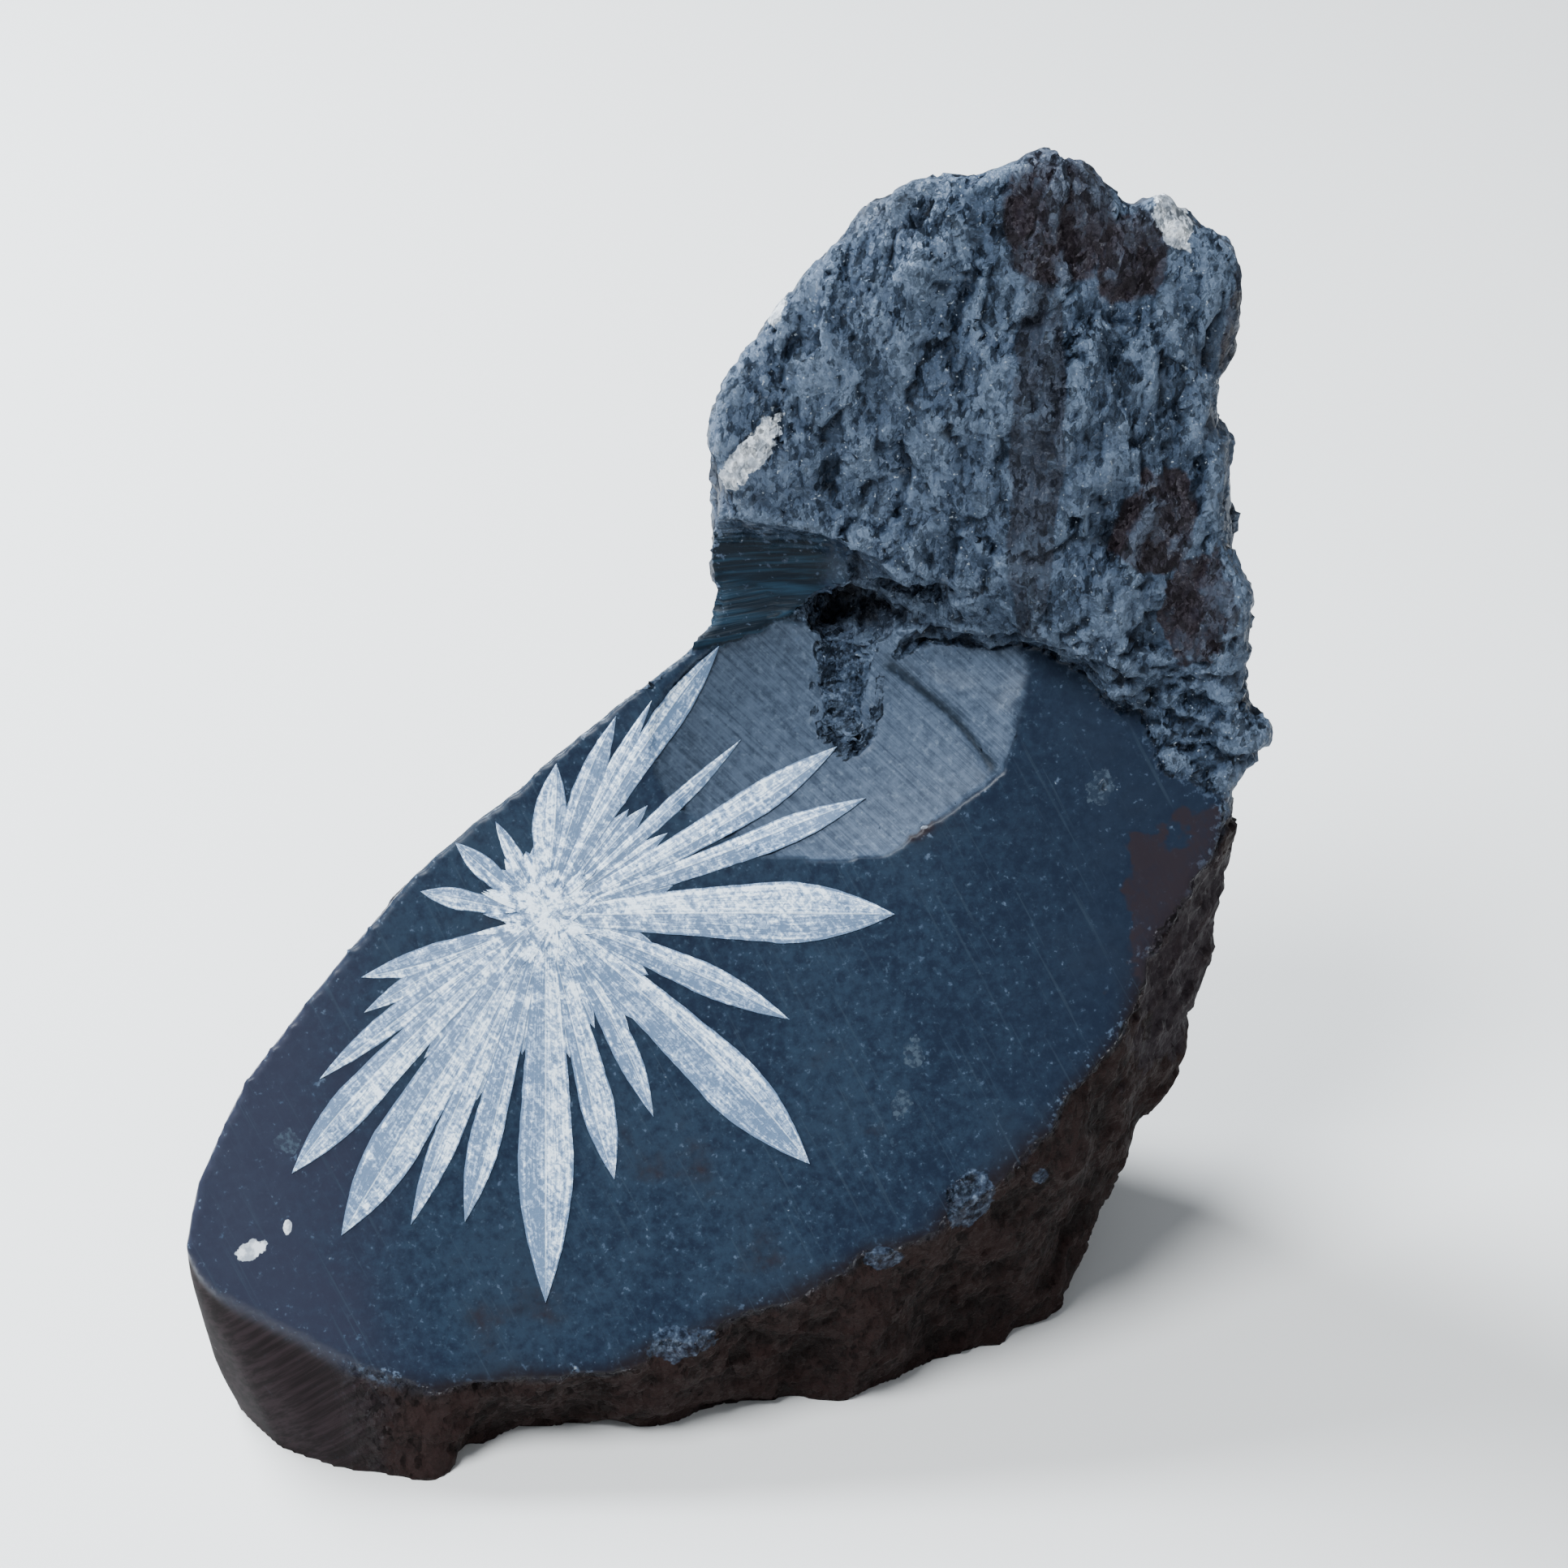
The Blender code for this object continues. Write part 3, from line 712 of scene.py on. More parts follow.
def split_facets(tree, coords, scale, ragged):
    """Small flat faces of split rock: the height and the tone of each, for bump and colour."""
    noise_node = add(tree, "ShaderNodeTexNoise")
    put(tree, noise_node, "Vector", coords)
    put(tree, noise_node, "Scale", scale * 0.8)
    put(tree, noise_node, "Detail", 3.0)
    shift = add(tree, "ShaderNodeVectorMath", operation="MULTIPLY_ADD")
    put(tree, shift, 0, noise_node.outputs["Color"])
    put(tree, shift, 1, (ragged, ragged, ragged))
    put(tree, shift, 2, mapped(tree, coords, (scale, scale, scale * 0.55)))
    cell = add(tree, "ShaderNodeTexVoronoi")
    put(tree, cell, "Vector", shift.outputs[0])
    put(tree, cell, "Scale", 1.0)
    offset = add(tree, "ShaderNodeVectorMath", operation="SUBTRACT")
    put(tree, offset, 0, shift.outputs[0])
    put(tree, offset, 1, cell.outputs["Position"])
    tilt = add(tree, "ShaderNodeVectorMath", operation="SUBTRACT")
    put(tree, tilt, 0, cell.outputs["Color"])
    put(tree, tilt, 1, (0.5, 0.5, 0.5))
    height = add(tree, "ShaderNodeVectorMath", operation="DOT_PRODUCT")
    put(tree, height, 0, offset.outputs[0])
    put(tree, height, 1, tilt.outputs[0])
    apart = add(tree, "ShaderNodeSeparateColor")
    put(tree, apart, "Color", cell.outputs["Color"])
    return height.outputs["Value"], apart.outputs["Red"]


large_height, large_tone = split_facets(tree, coords, *FACETS_LARGE)
small_height, small_tone = split_facets(tree, coords, *FACETS_SMALL)
tiny_height, tiny_tone = split_facets(tree, coords, *FACETS_TINY)

# Lapped face: faint cloudy tone, pin-point pale grains and fine straight scratches. Its blue
# colours are partly painted reflection of the sky, since its own sheen is kept low.
cloud = grain(tree, coords, 60.0, 5.0, 0.6)
pepper = grain(tree, coords, 1600.0, 2.0, 0.6)
grit = grain(tree, coords, 900.0, 3.0, 0.7)
cloudy = calc(tree, "ADD", calc(tree, "MULTIPLY", cloud, 0.45), calc(tree, "MULTIPLY", grit, 0.55))
lapped = blend(tree, ramp(tree, cloudy, 0.38, 0.62), POLISHED, POLISHED_PALE)
lapped = blend(tree, ramp(tree, pepper, 0.58, 0.74, 0.0, 0.3), lapped, PIN_GRAIN)
apart = add(tree, "ShaderNodeSeparateXYZ")
put(tree, apart, "Vector", coords)
side = calc(tree, "ADD", apart.outputs["X"], off_half(tree, cloud, 0.03))
lapped = blend(tree, ramp(tree, side, -0.028, -0.052, 0.0, 0.75), lapped, HAZE)
lapped = blend(tree, ramp(tree, side, 0.016, 0.050, 0.0, 0.75), lapped, POLISHED)
margin = calc(tree, "ADD", kept(tree, "margin"), off_half(tree, cloud, 0.5))
lapped = blend(tree, ramp(tree, margin, 0.0, 0.34, 0.0, 0.9), lapped, MARGIN)
# Painted glints: sparse tiny white specks on the polish.
fleck = add(tree, "ShaderNodeTexVoronoi")
put(tree, fleck, "Vector", coords)
put(tree, fleck, "Scale", 210.0)
fleck_size = add(tree, "ShaderNodeTexWhiteNoise")
put(tree, fleck_size, "Vector", fleck.outputs["Position"])
fleck_reach = ramp(tree, fleck_size.outputs["Value"], 0.90, 1.0, 0.0, 0.06)
fleck_mask = calc(tree, "LESS_THAN", fleck.outputs["Distance"], fleck_reach)
lapped = blend(tree, fleck_mask, lapped, FLECK)
in_plane = mapped(tree, coords, turn=(-FACE_SLOPE, 0.0, 0.0))
scratch = wheel_lines(tree, in_plane, (0.0, 0.0, SCRATCH_TURN), (70.0, 2200.0, 70.0), 2.0, 0.5)
lapped = blend(tree, ramp(tree, scratch, 0.60, 0.75, 0.0, 0.3), lapped, SCRATCH)

# Hollow: wheel marks run along the groove, from its upper left to its lower right.
marks = wheel_lines(tree, in_plane, (0.0, 0.0, WHEEL_TURN), (45.0, 3000.0, 45.0), 3.0, 0.7)
worn = calc(tree, "ADD", calc(tree, "MULTIPLY", marks, 0.5), calc(tree, "MULTIPLY", grit, 0.5))
ground = blend(tree, ramp(tree, worn, 0.34, 0.64), GROUND_DARK, GROUND)
dust = ramp(tree, grain(tree, coords, 1500.0), 0.54, 0.74, 0.0, 0.3)
ground = blend(tree, dust, ground, GROUND_GRAIN)
# Painted shade: the hollow darkens away from its brightest place, at its lower right.
from_bright = add(tree, "ShaderNodeVectorMath", operation="DISTANCE")
put(tree, from_bright, 0, coords)
put(tree, from_bright, 1, on_face(24.0, 57.0) * MM)
shade = ramp(tree, from_bright.outputs["Value"], 0.036, 0.006, 0.55, 1.0)
ground = blend(tree, shade, SHADE_DARK, ground)
# Painted shadow: a dark crescent along the groove.
groove_mask = kept(tree, "groove")
ground = blend(tree, ramp(tree, groove_mask, 0.25, 0.9, 0.0, 0.8), ground, SHADE_DARK)

# Wall behind the hollow: darker with painted shade, with marks that sweep round it.
wall_marks = wheel_lines(tree, coords, (0.0, WALL_TURN, 0.0), (60.0, 500.0, 1500.0), 3.0, 0.6)
wall = blend(tree, ramp(tree, wall_marks, 0.42, 0.72), SHADE_DARK, WALL_SHADED)

# Broken skin: each facet its own tone, with painted shade in the crevices and deeper hollows
# and painted highlights on standing edges.
tone = grain(tree, coords, 130.0, 4.0, 0.65)
shelter = kept(tree, "shelter")
level = calc(tree, "MULTIPLY", tone, 0.85)
# Painted shade: the deeper a point lies in its surroundings, the darker its tone.
level = calc(tree, "SUBTRACT", level, off_half(tree, shelter, 0.9))
for facet_tone in (large_tone, small_tone, tiny_tone):
    level = calc(tree, "ADD", level, calc(tree, "MULTIPLY", facet_tone, 0.20))
split = blend(tree, ramp(tree, level, 0.16, 0.70), BROKEN_DARK, BROKEN)
split = blend(tree, ramp(tree, level, 0.66, 1.06, 0.0, 0.6), split, BROKEN_PALE)
# Painted highlight on standing edges and painted shade in crevices.
split = blend(tree, ramp(tree, crevice, 0.44, 0.12, 0.0, 0.35), split, BROKEN_PALE)
split = blend(tree, ramp(tree, crevice, 0.56, 0.90, 0.0, 0.85), split, BROKEN_DARK)
# Painted glints: pale specks where the broken facets would catch the light.
glint = grain(tree, coords, 2100.0, 1.0, 0.5)
split = blend(tree, ramp(tree, glint, 0.71, 0.76, 0.0, 0.7), split, GLINT)

# Scuffs and a bruise in the polish show paler grains.
scuff_grains = ramp(tree, pepper, 0.42, 0.62, 0.15, 0.9)
for centre, size in (
    (on_face(40.2, 62.3), (1.5, 1.7, 1.8)),
    (on_face(20.2, 34.0), (1.2, 2.0, 1.6)),
    (on_face(19.0, 28.6), (1.0, 1.8, 1.6)),
    (on_face(-46.5, 24.5), (1.3, 1.3, 1.2)),
):
    scuff = calc(tree, "MULTIPLY", patch(tree, centre, size, 2.2, 900.0), scuff_grains)
    lapped = blend(tree, scuff, lapped, SCUFF)

colour = blend(tree, hollow_mask, lapped, ground)
rough_edge = calc(tree, "MULTIPLY", calc(tree, "SUBTRACT", calc(tree, "ADD", grit, pepper), 1.0), 1.6)
wall_edge = calc(tree, "ADD", wall_mask, calc(tree, "MULTIPLY", rough_edge, 0.5))
colour = blend(tree, ramp(tree, wall_edge, 0.2, 0.6), colour, wall)
near_edge = ramp(tree, calc(tree, "ADD", kept(tree, "near"), rough_edge), 0.28, 0.62)
split_share = calc(tree, "MAXIMUM", near_edge, ramp(tree, broken_mask, 0.6, 0.95))
hacked = calc(tree, "ADD", kept(tree, "hacked"), off_half(tree, wall_marks, 2.4))
hacked_share = calc(tree, "MULTIPLY", wall_mask, ramp(tree, hacked, 0.55, 1.0, 0.0, 0.75))
split_share = calc(tree, "MAXIMUM", split_share, hacked_share)
off_margin = ramp(tree, margin, 0.10, 0.30, 1.0, 0.04)
colour = blend(tree, calc(tree, "MULTIPLY", split_share, off_margin), colour, split)

# The hollow's worn channel: crumbled rock with ragged sides; a crack and a bruise below it.
channel = patch(tree, on_face(12.9, 72.6, -2.0), (2.2, 5.0, 5.0), 1.8, 420.0)
loose = calc(tree, "ADD", grit, calc(tree, "SUBTRACT", pepper, 0.5))
crumbs = blend(tree, ramp(tree, loose, 0.30, 0.56), BROKEN_DARK, BROKEN)
crumbs = blend(tree, ramp(tree, loose, 0.54, 0.76), crumbs, BROKEN_PALE)
colour = blend(tree, calc(tree, "MULTIPLY", channel, 0.8), colour, crumbs)
crack = patch(tree, on_face(12.3, 62.3), (2.5, 0.5, 0.5), 1.2, 900.0)
colour = blend(tree, crack, colour, BROKEN_DARK)
bruise = patch(tree, on_face(18.9, 58.2), (2.9, 0.45, 0.45), 2.0, 1200.0)
colour = blend(tree, bruise, colour, BRUISE)

# The left end of the foot: coarse lines of the wheel cross it in brown and black.
heel_marks = wheel_lines(tree, coords, (0.0, HEEL_TURN, 0.0), (60.0, 900.0, 1300.0), 3.0, 0.7)
heel_mask = kept(tree, "heel")
heel = blend(tree, ramp(tree, heel_marks, 0.36, 0.64), RIM, HEEL)
colour = blend(tree, ramp(tree, heel_mask, 0.1, 0.9, 0.0, 0.95), colour, heel)

# The back was never ground or washed: a duller, browner crust lies over its facets.
crust = calc(tree, "ADD", ramp(tree, apart.outputs["Y"], 0.004, 0.030), off_half(tree, cloud, 1.6))
crust = calc(tree, "MULTIPLY", ramp(tree, crust, 0.25, 0.95, 0.0, 0.72), broken_mask)
colour = blend(tree, crust, colour, CRUST)

# Brown weathering of the rim under the face, made near-black by painted shade under the
# overhanging face, and iron brown on a few faces of the leg.
mottle = calc(tree, "ADD", off_half(tree, cloud, 2.4), off_half(tree, tone, 1.6))
rim_edge = calc(tree, "ADD", calc(tree, "MULTIPLY", rim_mask, 1.8), mottle)
rim_edge = ramp(tree, rim_edge, 0.30, 1.10, 0.0, 0.98)
rim_edge = calc(tree, "MAXIMUM", rim_edge, ramp(tree, margin, 0.34, 0.52, 0.0, 0.95))
colour = blend(tree, rim_edge, colour, blend(tree, ramp(tree, level, 0.45, 0.95), RIM, RIM_PALE))
for centre, size in (
    (on_face(-5.4, 3.0, -1.0), (3.6, 2.4, 2.0)),
    (on_face(26.7, 17.8, -1.0), (2.6, 2.6, 3.2)),
    (on_face(34.4, 19.1, -1.5), (1.6, 2.4, 2.2)),
    (on_face(17.0, 12.0, -1.0), (2.2, 1.6, 1.4)),
):
    chip = patch(tree, centre, size, 2.0, 380.0)
    colour = blend(tree, calc(tree, "MULTIPLY", chip, 0.6), colour, crumbs)
rust_amount = largest(tree, [patch(tree, centre, size, raggedness, 240.0) for centre, size, raggedness in (
    (in_frame(50.0, 0.0, 46.0), (8.0, 12.0, 16.0), 1.6),
    (in_frame(33.5, 17.0, 126.0), (5.6, 16.0, 7.0), 0.5),
    (in_frame(41.0, 17.0, 122.0), (3.6, 16.0, 5.0), 0.9),
    (in_frame(44.4, 12.0, 94.2), (4.4, 9.0, 5.8), 0.9),
    (in_frame(52.6, 18.0, 112.0), (2.2, 12.0, 8.0), 0.9),
    (in_frame(49.5, 14.0, 84.0), (4.0, 12.0, 8.0), 1.6),
)])
rust_amount = calc(tree, "MULTIPLY", rust_amount, ramp(tree, level, 0.6, 1.2, 0.92, 0.5))
# Painted shade: a darker band on the face of the leg that turns from the light.
band_shade = patch(tree, in_frame(31.9, 13.0, 102.0), (2.7, 16.0, 24.0), 0.7, 240.0)
band_shade = calc(tree, "MULTIPLY", band_shade, ramp(tree, level, 0.6, 1.2, 0.88, 0.45))
colour = blend(tree, band_shade, colour, BAND_SHADE)
colour = blend(tree, rust_amount, colour, RUST)

# White calcite: a streak on the leg's left side, a crust on its top edge and small lumps.
calcite_amount = largest(tree, [patch(tree, centre, size, 1.3, 900.0, turn) for centre, size, turn in (
    (in_frame(2.8, 15.0, 99.2), (1.45, 7.0, 5.4), -0.60),
    (in_frame(44.9, 17.0, 125.0), (1.5, 14.0, 3.2), 0.5),
    (in_frame(5.6, 18.0, 115.0), (0.9, 4.0, 2.6), -0.45),
    (in_frame(-50.4, -22.5, 23.5), (1.8, 2.0, 0.8), 0.3),
    (in_frame(-46.6, -21.2, 25.6), (0.45, 1.0, 0.8), 0.0),
    (in_frame(-41.4, -18.6, 31.0), (0.9, 1.2, 0.6), 0.0),
)])
chalk = blend(tree, ramp(tree, grain(tree, coords, 900.0), 0.4, 0.6), CALCITE_GREY, CALCITE)
colour = blend(tree, calcite_amount, colour, chalk)
put(tree, shader, "Base Color", colour)

# Roughness: satin where it is ground, duller in the hollow, on chalk and on the heel.
gloss = ramp(tree, cloud, 0.3, 0.7, 0.30, 0.40)
gloss = calc(tree, "ADD", gloss, calc(tree, "MULTIPLY", calc(tree, "ADD", hollow_mask, wall_mask), 0.18))
rough_skin = ramp(tree, small_tone, 0.0, 1.0, 0.56, 0.36)
gloss_mix = add(tree, "ShaderNodeMix", data_type="FLOAT")
put(tree, gloss_mix, 0, ramp(tree, broken_mask, 0.25, 0.6))
put(tree, gloss_mix, 2, gloss)
put(tree, gloss_mix, 3, calc(tree, "ADD", rough_skin, calc(tree, "MULTIPLY", rim_mask, 0.35)))
dull_chalk = calc(tree, "MULTIPLY", calcite_amount, 0.6)
dull = calc(tree, "MAXIMUM", dull_chalk, calc(tree, "MULTIPLY", heel_mask, 0.75))
put(tree, shader, "Roughness", calc(tree, "MAXIMUM", gloss_mix.outputs[0], dull))

# Fine relief: facets and grain on the broken skin, shallow wheel marks on the ground parts.
fine = calc(tree, "MULTIPLY", large_height, 4.6)
for part, weight in ((small_height, 3.4), (tiny_height, 1.6), (grain(tree, coords, 1500.0, 3.0, 0.7), 0.45)):
    fine = calc(tree, "ADD", fine, calc(tree, "MULTIPLY", part, weight))
fine = calc(tree, "MULTIPLY", fine, ramp(tree, rim_mask, 0.2, 0.8, 1.0, 0.45))
hollow_relief = calc(tree, "MULTIPLY", marks, calc(tree, "MULTIPLY", hollow_mask, 0.12))
wall_relief = calc(tree, "MULTIPLY", wall_marks, calc(tree, "MULTIPLY", wall_mask, 0.3))
ground_relief = calc(tree, "ADD", hollow_relief, calc(tree, "MULTIPLY", scratch, 0.02))
ground_relief = calc(tree, "ADD", ground_relief, wall_relief)
broken_relief = calc(tree, "MULTIPLY", fine, ramp(tree, broken_mask, 0.1, 0.6))
bump = add(tree, "ShaderNodeBump")
put(tree, bump, "Strength", 1.0)
put(tree, bump, "Distance", BUMP_DEPTH)
put(tree, bump, "Height", calc(tree, "ADD", broken_relief, ground_relief))
put(tree, shader, "Normal", bump.outputs["Normal"])
rock.data.materials.append(stone_look)
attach(rock, "root")
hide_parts("stone")

# The flower: blade-shaped crystals that grew outward from one point in the mud before it
# turned to stone. They were ground level with the face, so each lies a hair above it here,
# and each keeps its own height, so that it shows which blade lies over which.
FLOWER_AT = (-19.0, 48.6)
BLADE_STEPS = 46
BLADE_SIDES = 6
BLADE_DEPTH = 0.9
BLADE_RIDGE = 0.05
SKIN_PROBES = ((0.0, 0.0), (0.35, 0.0), (-0.35, 0.0), (0.0, 0.35), (0.0, -0.35))
SKIN_LOWEST = -5.2
SHRINK_BY = 0.985
SHRINK_TIMES = 60
BLADE_LIFT = 0.05
BLADE_LIFT_STEP = 0.006
SLIVER_LIFT = 0.02
CRYSTALS = [
    # direction, length, widest width, where it is widest, midrib, bend, tone,
    # and how far out it parts from the next
    (57.3, 34.2, 3.1, 0.72, 0.25, 0.6, 0.66, 16),
    (42.2, 28.0, 1.8, 0.62, 0.0, -0.4, 0.55, 15.7),
    (30.2, 36.0, 3.4, 0.70, -0.2, -0.8, 0.78, 15.5),
    (20.2, 36.4, 3.0, 0.72, 0.2, -0.5, 0.74, 15.5),
    (0.3, 37.2, 6.6, 0.68, -0.02, 0.3, 0.95, 12),
    (-23.0, 28.2, 3.4, 0.62, 0.1, 0.5, 0.58, 14),
    (-43.2, 38.6, 6.2, 0.68, 0.25, 0.6, 0.72, 16),
    (-61.8, 24.3, 2.7, 0.66, 0.1, 0.8, 0.45, 14.5),
    (-75.4, 29.0, 3.6, 0.70, -0.3, 0.3, 0.66, 17),
    (-90.0, 41.2, 6.0, 0.62, 0.0, 0.0, 0.70, 15),
    (-104.8, 33.7, 3.4, 0.72, 0.3, -0.2, 0.60, 21),
    (-113.6, 35.9, 2.9, 0.70, -0.2, -0.3, 0.80, 23),
    (-122.6, 40.4, 5.3, 0.72, 0.05, -0.4, 0.74, 20),
    (-134.6, 38.5, 4.1, 0.74, -0.2, -0.8, 0.82, 17),
    (-144.2, 29.7, 2.6, 0.64, 0.2, -0.6, 0.64, 11),
    (-152.0, 21.9, 2.6, 0.62, 0.0, -0.4, 0.56, 7.5),
    (-161.6, 20.7, 3.0, 0.60, 0.2, 0.5, 0.50, 5),
    (169.0, 13.6, 2.3, 0.70, 0.0, 0.0, 0.60, 5),
    (141.0, 12.4, 2.4, 0.66, 0.0, 0.2, 0.66, 7.5),
    (118.0, 11.4, 1.8, 0.60, 0.0, 0.0, 0.62, 8),
    (86.0, 16.3, 3.7, 0.60, -0.3, 0.3, 0.70, 11.3),
    (70.6, 22.6, 2.9, 0.60, 0.3, 0.4, 0.40, 12.5),
    (63.8, 25.6, 1.9, 0.62, 0.0, 0.3, 0.72, 14.7),
]

skin_bm = bmesh.new()
skin_bm.from_mesh(rock.data)
skin = BVHTree.FromBMesh(skin_bm)
skin_bm.free()


def skin_height(right, up):
    """Height of the rock's skin off the face's plane about a point, or None past its edge."""
    highest = None
    for aside, ahead in SKIN_PROBES:
        start = on_face(right + aside, up + ahead, 3.0) * MM
        hit = skin.ray_cast(start, -FACE_OUT, 0.020)
        if hit[0] is None:
            return None
        height = (hit[0] / MM - FACE_ORIGIN).dot(FACE_OUT)
        highest = height if highest is None else max(highest, height)
    return highest


def blade(bm, row, number, lift):
    """One crystal: a flat blade with a faint ridge, its rim let down into the rock."""
    direction, length, width, widest, midrib, bend, tone_value = row[:7]
    turn = math.radians(direction)
    along = Vector((math.cos(turn), math.sin(turn)))
    across = Vector((-along.y, along.x))
    centre = Vector(FLOWER_AT)
    uv_layer = bm.loops.layers.uv["UVMap"]
    tone_layer = bm.verts.layers.float["tone"]
    rib_layer = bm.verts.layers.float["rib"]
    brink_layer = bm.verts.layers.float["brink"]

    def spot(s, w):
        """Place on the face of a point s along and w across the blade."""
        if s < widest:
            half = 0.2 + 0.8 * (s / widest) ** 0.75
        else:
            half = 1.0 - ((s - widest) / (1.0 - widest)) ** 1.9
        side = 1.0 if w > 0 else -1.0
        ragged = noise.noise(Vector((s * length * 0.9, side * 7.3, number * 5.1)))
        ragged += 0.6 * noise.noise(Vector((s * length * 2.6, side * 3.1, number * 9.7)))
        half = max(0.5 * width * half + 0.07 * ragged * abs(w) * min(1.0, 6.0 * (1.0 - s)), 0.02)
        swing = bend * 4.0 * s * (1.0 - s)
        return centre + along * (length * s) + across * (half * w + swing)

    rows = []
    for i in range(BLADE_STEPS + 1):
        s = (i / BLADE_STEPS) ** 0.9
        ring = []
        for j in range(BLADE_SIDES + 1):
            w = 2.0 * j / BLADE_SIDES - 1.0
            at = spot(s, w)
            ground_at = skin_height(at.x, at.y)
            shrink = 0
            while (ground_at is None or ground_at < SKIN_LOWEST) and shrink < SHRINK_TIMES:
                at = centre + (at - centre) * SHRINK_BY
                ground_at = skin_height(at.x, at.y)
                shrink += 1
            off_rib = abs(w - midrib) / (1.0 + abs(midrib))
            rise = lift + BLADE_RIDGE * (1.0 - off_rib) - BLADE_RIDGE * abs(w) ** 3
            vert = bm.verts.new(on_face(at.x, at.y, (ground_at or 0.0) + rise) * MM)
            vert[tone_layer] = tone_value
            vert[rib_layer] = w - midrib
            vert[brink_layer] = abs(w) ** 4
            ring.append((vert, (s * length / 10.0, 0.5 + 0.5 * w * max(width, 2.0) / 6.0)))
        rows.append(ring)
    for a, b in zip(rows, rows[1:]):
        for j in range(BLADE_SIDES):
            corners = (a[j], b[j], b[j + 1], a[j + 1])
            face = bm.faces.new([c[0] for c in corners])
            for loop, corner in zip(face.loops, corners):
                loop[uv_layer].uv = corner[1]
    rim = [r[0] for r in rows] + rows[-1][1:-1] + [r[-1] for r in rows[::-1]] + rows[0][-2:0:-1]
    foot = []
    for vert, uv in rim:
        low_vert = bm.verts.new(vert.co - FACE_OUT * (BLADE_DEPTH * MM))
        low_vert[tone_layer] = tone_value
        low_vert[rib_layer] = vert[rib_layer]
        low_vert[brink_layer] = 1.0
        foot.append((low_vert, uv))
    for k in range(len(rim)):
        after = (k + 1) % len(rim)
        face = bm.faces.new((rim[k][0], foot[k][0], foot[after][0], rim[after][0]))
        for loop, uv in zip(face.loops, (rim[k][1], foot[k][1], foot[after][1], rim[after][1])):
            loop[uv_layer].uv = uv
    bm.faces.new([f[0] for f in foot[::-1]])


flower_bm = bmesh.new()
flower_bm.verts.layers.float.new("tone")
flower_bm.verts.layers.float.new("rib")
flower_bm.verts.layers.float.new("brink")
flower_bm.loops.layers.uv.new("UVMap")
for k, row in enumerate(CRYSTALS):
    following = CRYSTALS[(k + 1) % len(CRYSTALS)]
    between = (row[0] - following[0]) % 360.0
    notch = row[7]
    sliver_width = 0.5 * notch * math.radians(between) + 0.5
    for share, reach, tone_value in ((0.34, 0.90, 0.25 + 0.5 * (k * 0.37 % 1.0)),
                                     (0.66, 1.0, 0.3 + 0.6 * (k * 0.61 % 1.0))):
        sliver = (row[0] - between * share, notch * reach, sliver_width, 0.68, 0.0, 0.0, tone_value)
        blade(flower_bm, sliver, 30 + k, SLIVER_LIFT + 0.012 * share)
order = sorted(range(len(CRYSTALS)), key=lambda k: CRYSTALS[k][1] * CRYSTALS[k][2])
for rank, k in enumerate(order):
    blade(flower_bm, CRYSTALS[k], k, BLADE_LIFT + BLADE_LIFT_STEP * rank)
bmesh.ops.recalc_face_normals(flower_bm, faces=flower_bm.faces)
flower_mesh = bpy.data.meshes.new("Crystal_flower")
flower_bm.to_mesh(flower_mesh)
flower_bm.free()

# Core of the flower: a felt of short needles that cross each other. They repeat, so they are
# instances of one needle, turned and stretched at random about the centre.
NEEDLES = 190
NEEDLE_REACH = (1.6, 7.0)
NEEDLE_WIDTH = (0.3, 0.8)
NEEDLE_SCATTER = 1.6
NEEDLE_LIFT = (0.12, 0.26)
NEEDLE_TONE = (0.2, 1.0)
FELT_SEED = 4

needle_bm = bmesh.new()
needle_uv = needle_bm.loops.layers.uv.new("UVMap")
outline = [(0.0, -0.25), (0.35, -0.42), (0.65, -0.5), (0.88, -0.28), (1.0, 0.0),
           (0.88, 0.28), (0.65, 0.5), (0.35, 0.42), (0.0, 0.25)]
top_ring = [needle_bm.verts.new((x, y, 0.0)) for x, y in outline]
low_ring = [needle_bm.verts.new((x, y, -0.5)) for x, y in outline]
needle_bm.faces.new(top_ring)
needle_bm.faces.new(low_ring[::-1])
for k in range(len(outline)):
    after = (k + 1) % len(outline)
    needle_bm.faces.new((top_ring[after], top_ring[k], low_ring[k], low_ring[after]))
for face in needle_bm.faces:
    for loop in face.loops:
        loop[needle_uv].uv = (loop.vert.co.x, 0.5 + 0.16 * loop.vert.co.y)
needle_mesh = bpy.data.meshes.new("Needle")
needle_bm.to_mesh(needle_mesh)
needle_bm.free()
needle = bpy.data.objects.new("Needle", needle_mesh)

felt_tree = bpy.data.node_groups.new("Needle felt", "GeometryNodeTree")
for name, kind, amount in (("Count", "NodeSocketInt", NEEDLES), ("Seed", "NodeSocketInt", FELT_SEED),
                           ("Least length", "NodeSocketFloat", NEEDLE_REACH[0] * MM),
                           ("Most length", "NodeSocketFloat", NEEDLE_REACH[1] * MM),
                           ("Least width", "NodeSocketFloat", NEEDLE_WIDTH[0] * MM),
                           ("Most width", "NodeSocketFloat", NEEDLE_WIDTH[1] * MM),
                           ("Scatter", "NodeSocketFloat", NEEDLE_SCATTER * MM),
                           ("Finish", "NodeSocketMaterial", None)):
    made = felt_tree.interface.new_socket(name, in_out="INPUT", socket_type=kind)
    if amount is not None:
        made.default_value = amount
felt_tree.interface.new_socket("Geometry", in_out="OUTPUT", socket_type="NodeSocketGeometry")
given = add(felt_tree, "NodeGroupInput").outputs
result = add(felt_tree, "NodeGroupOutput")
index = add(felt_tree, "GeometryNodeInputIndex").outputs[0]


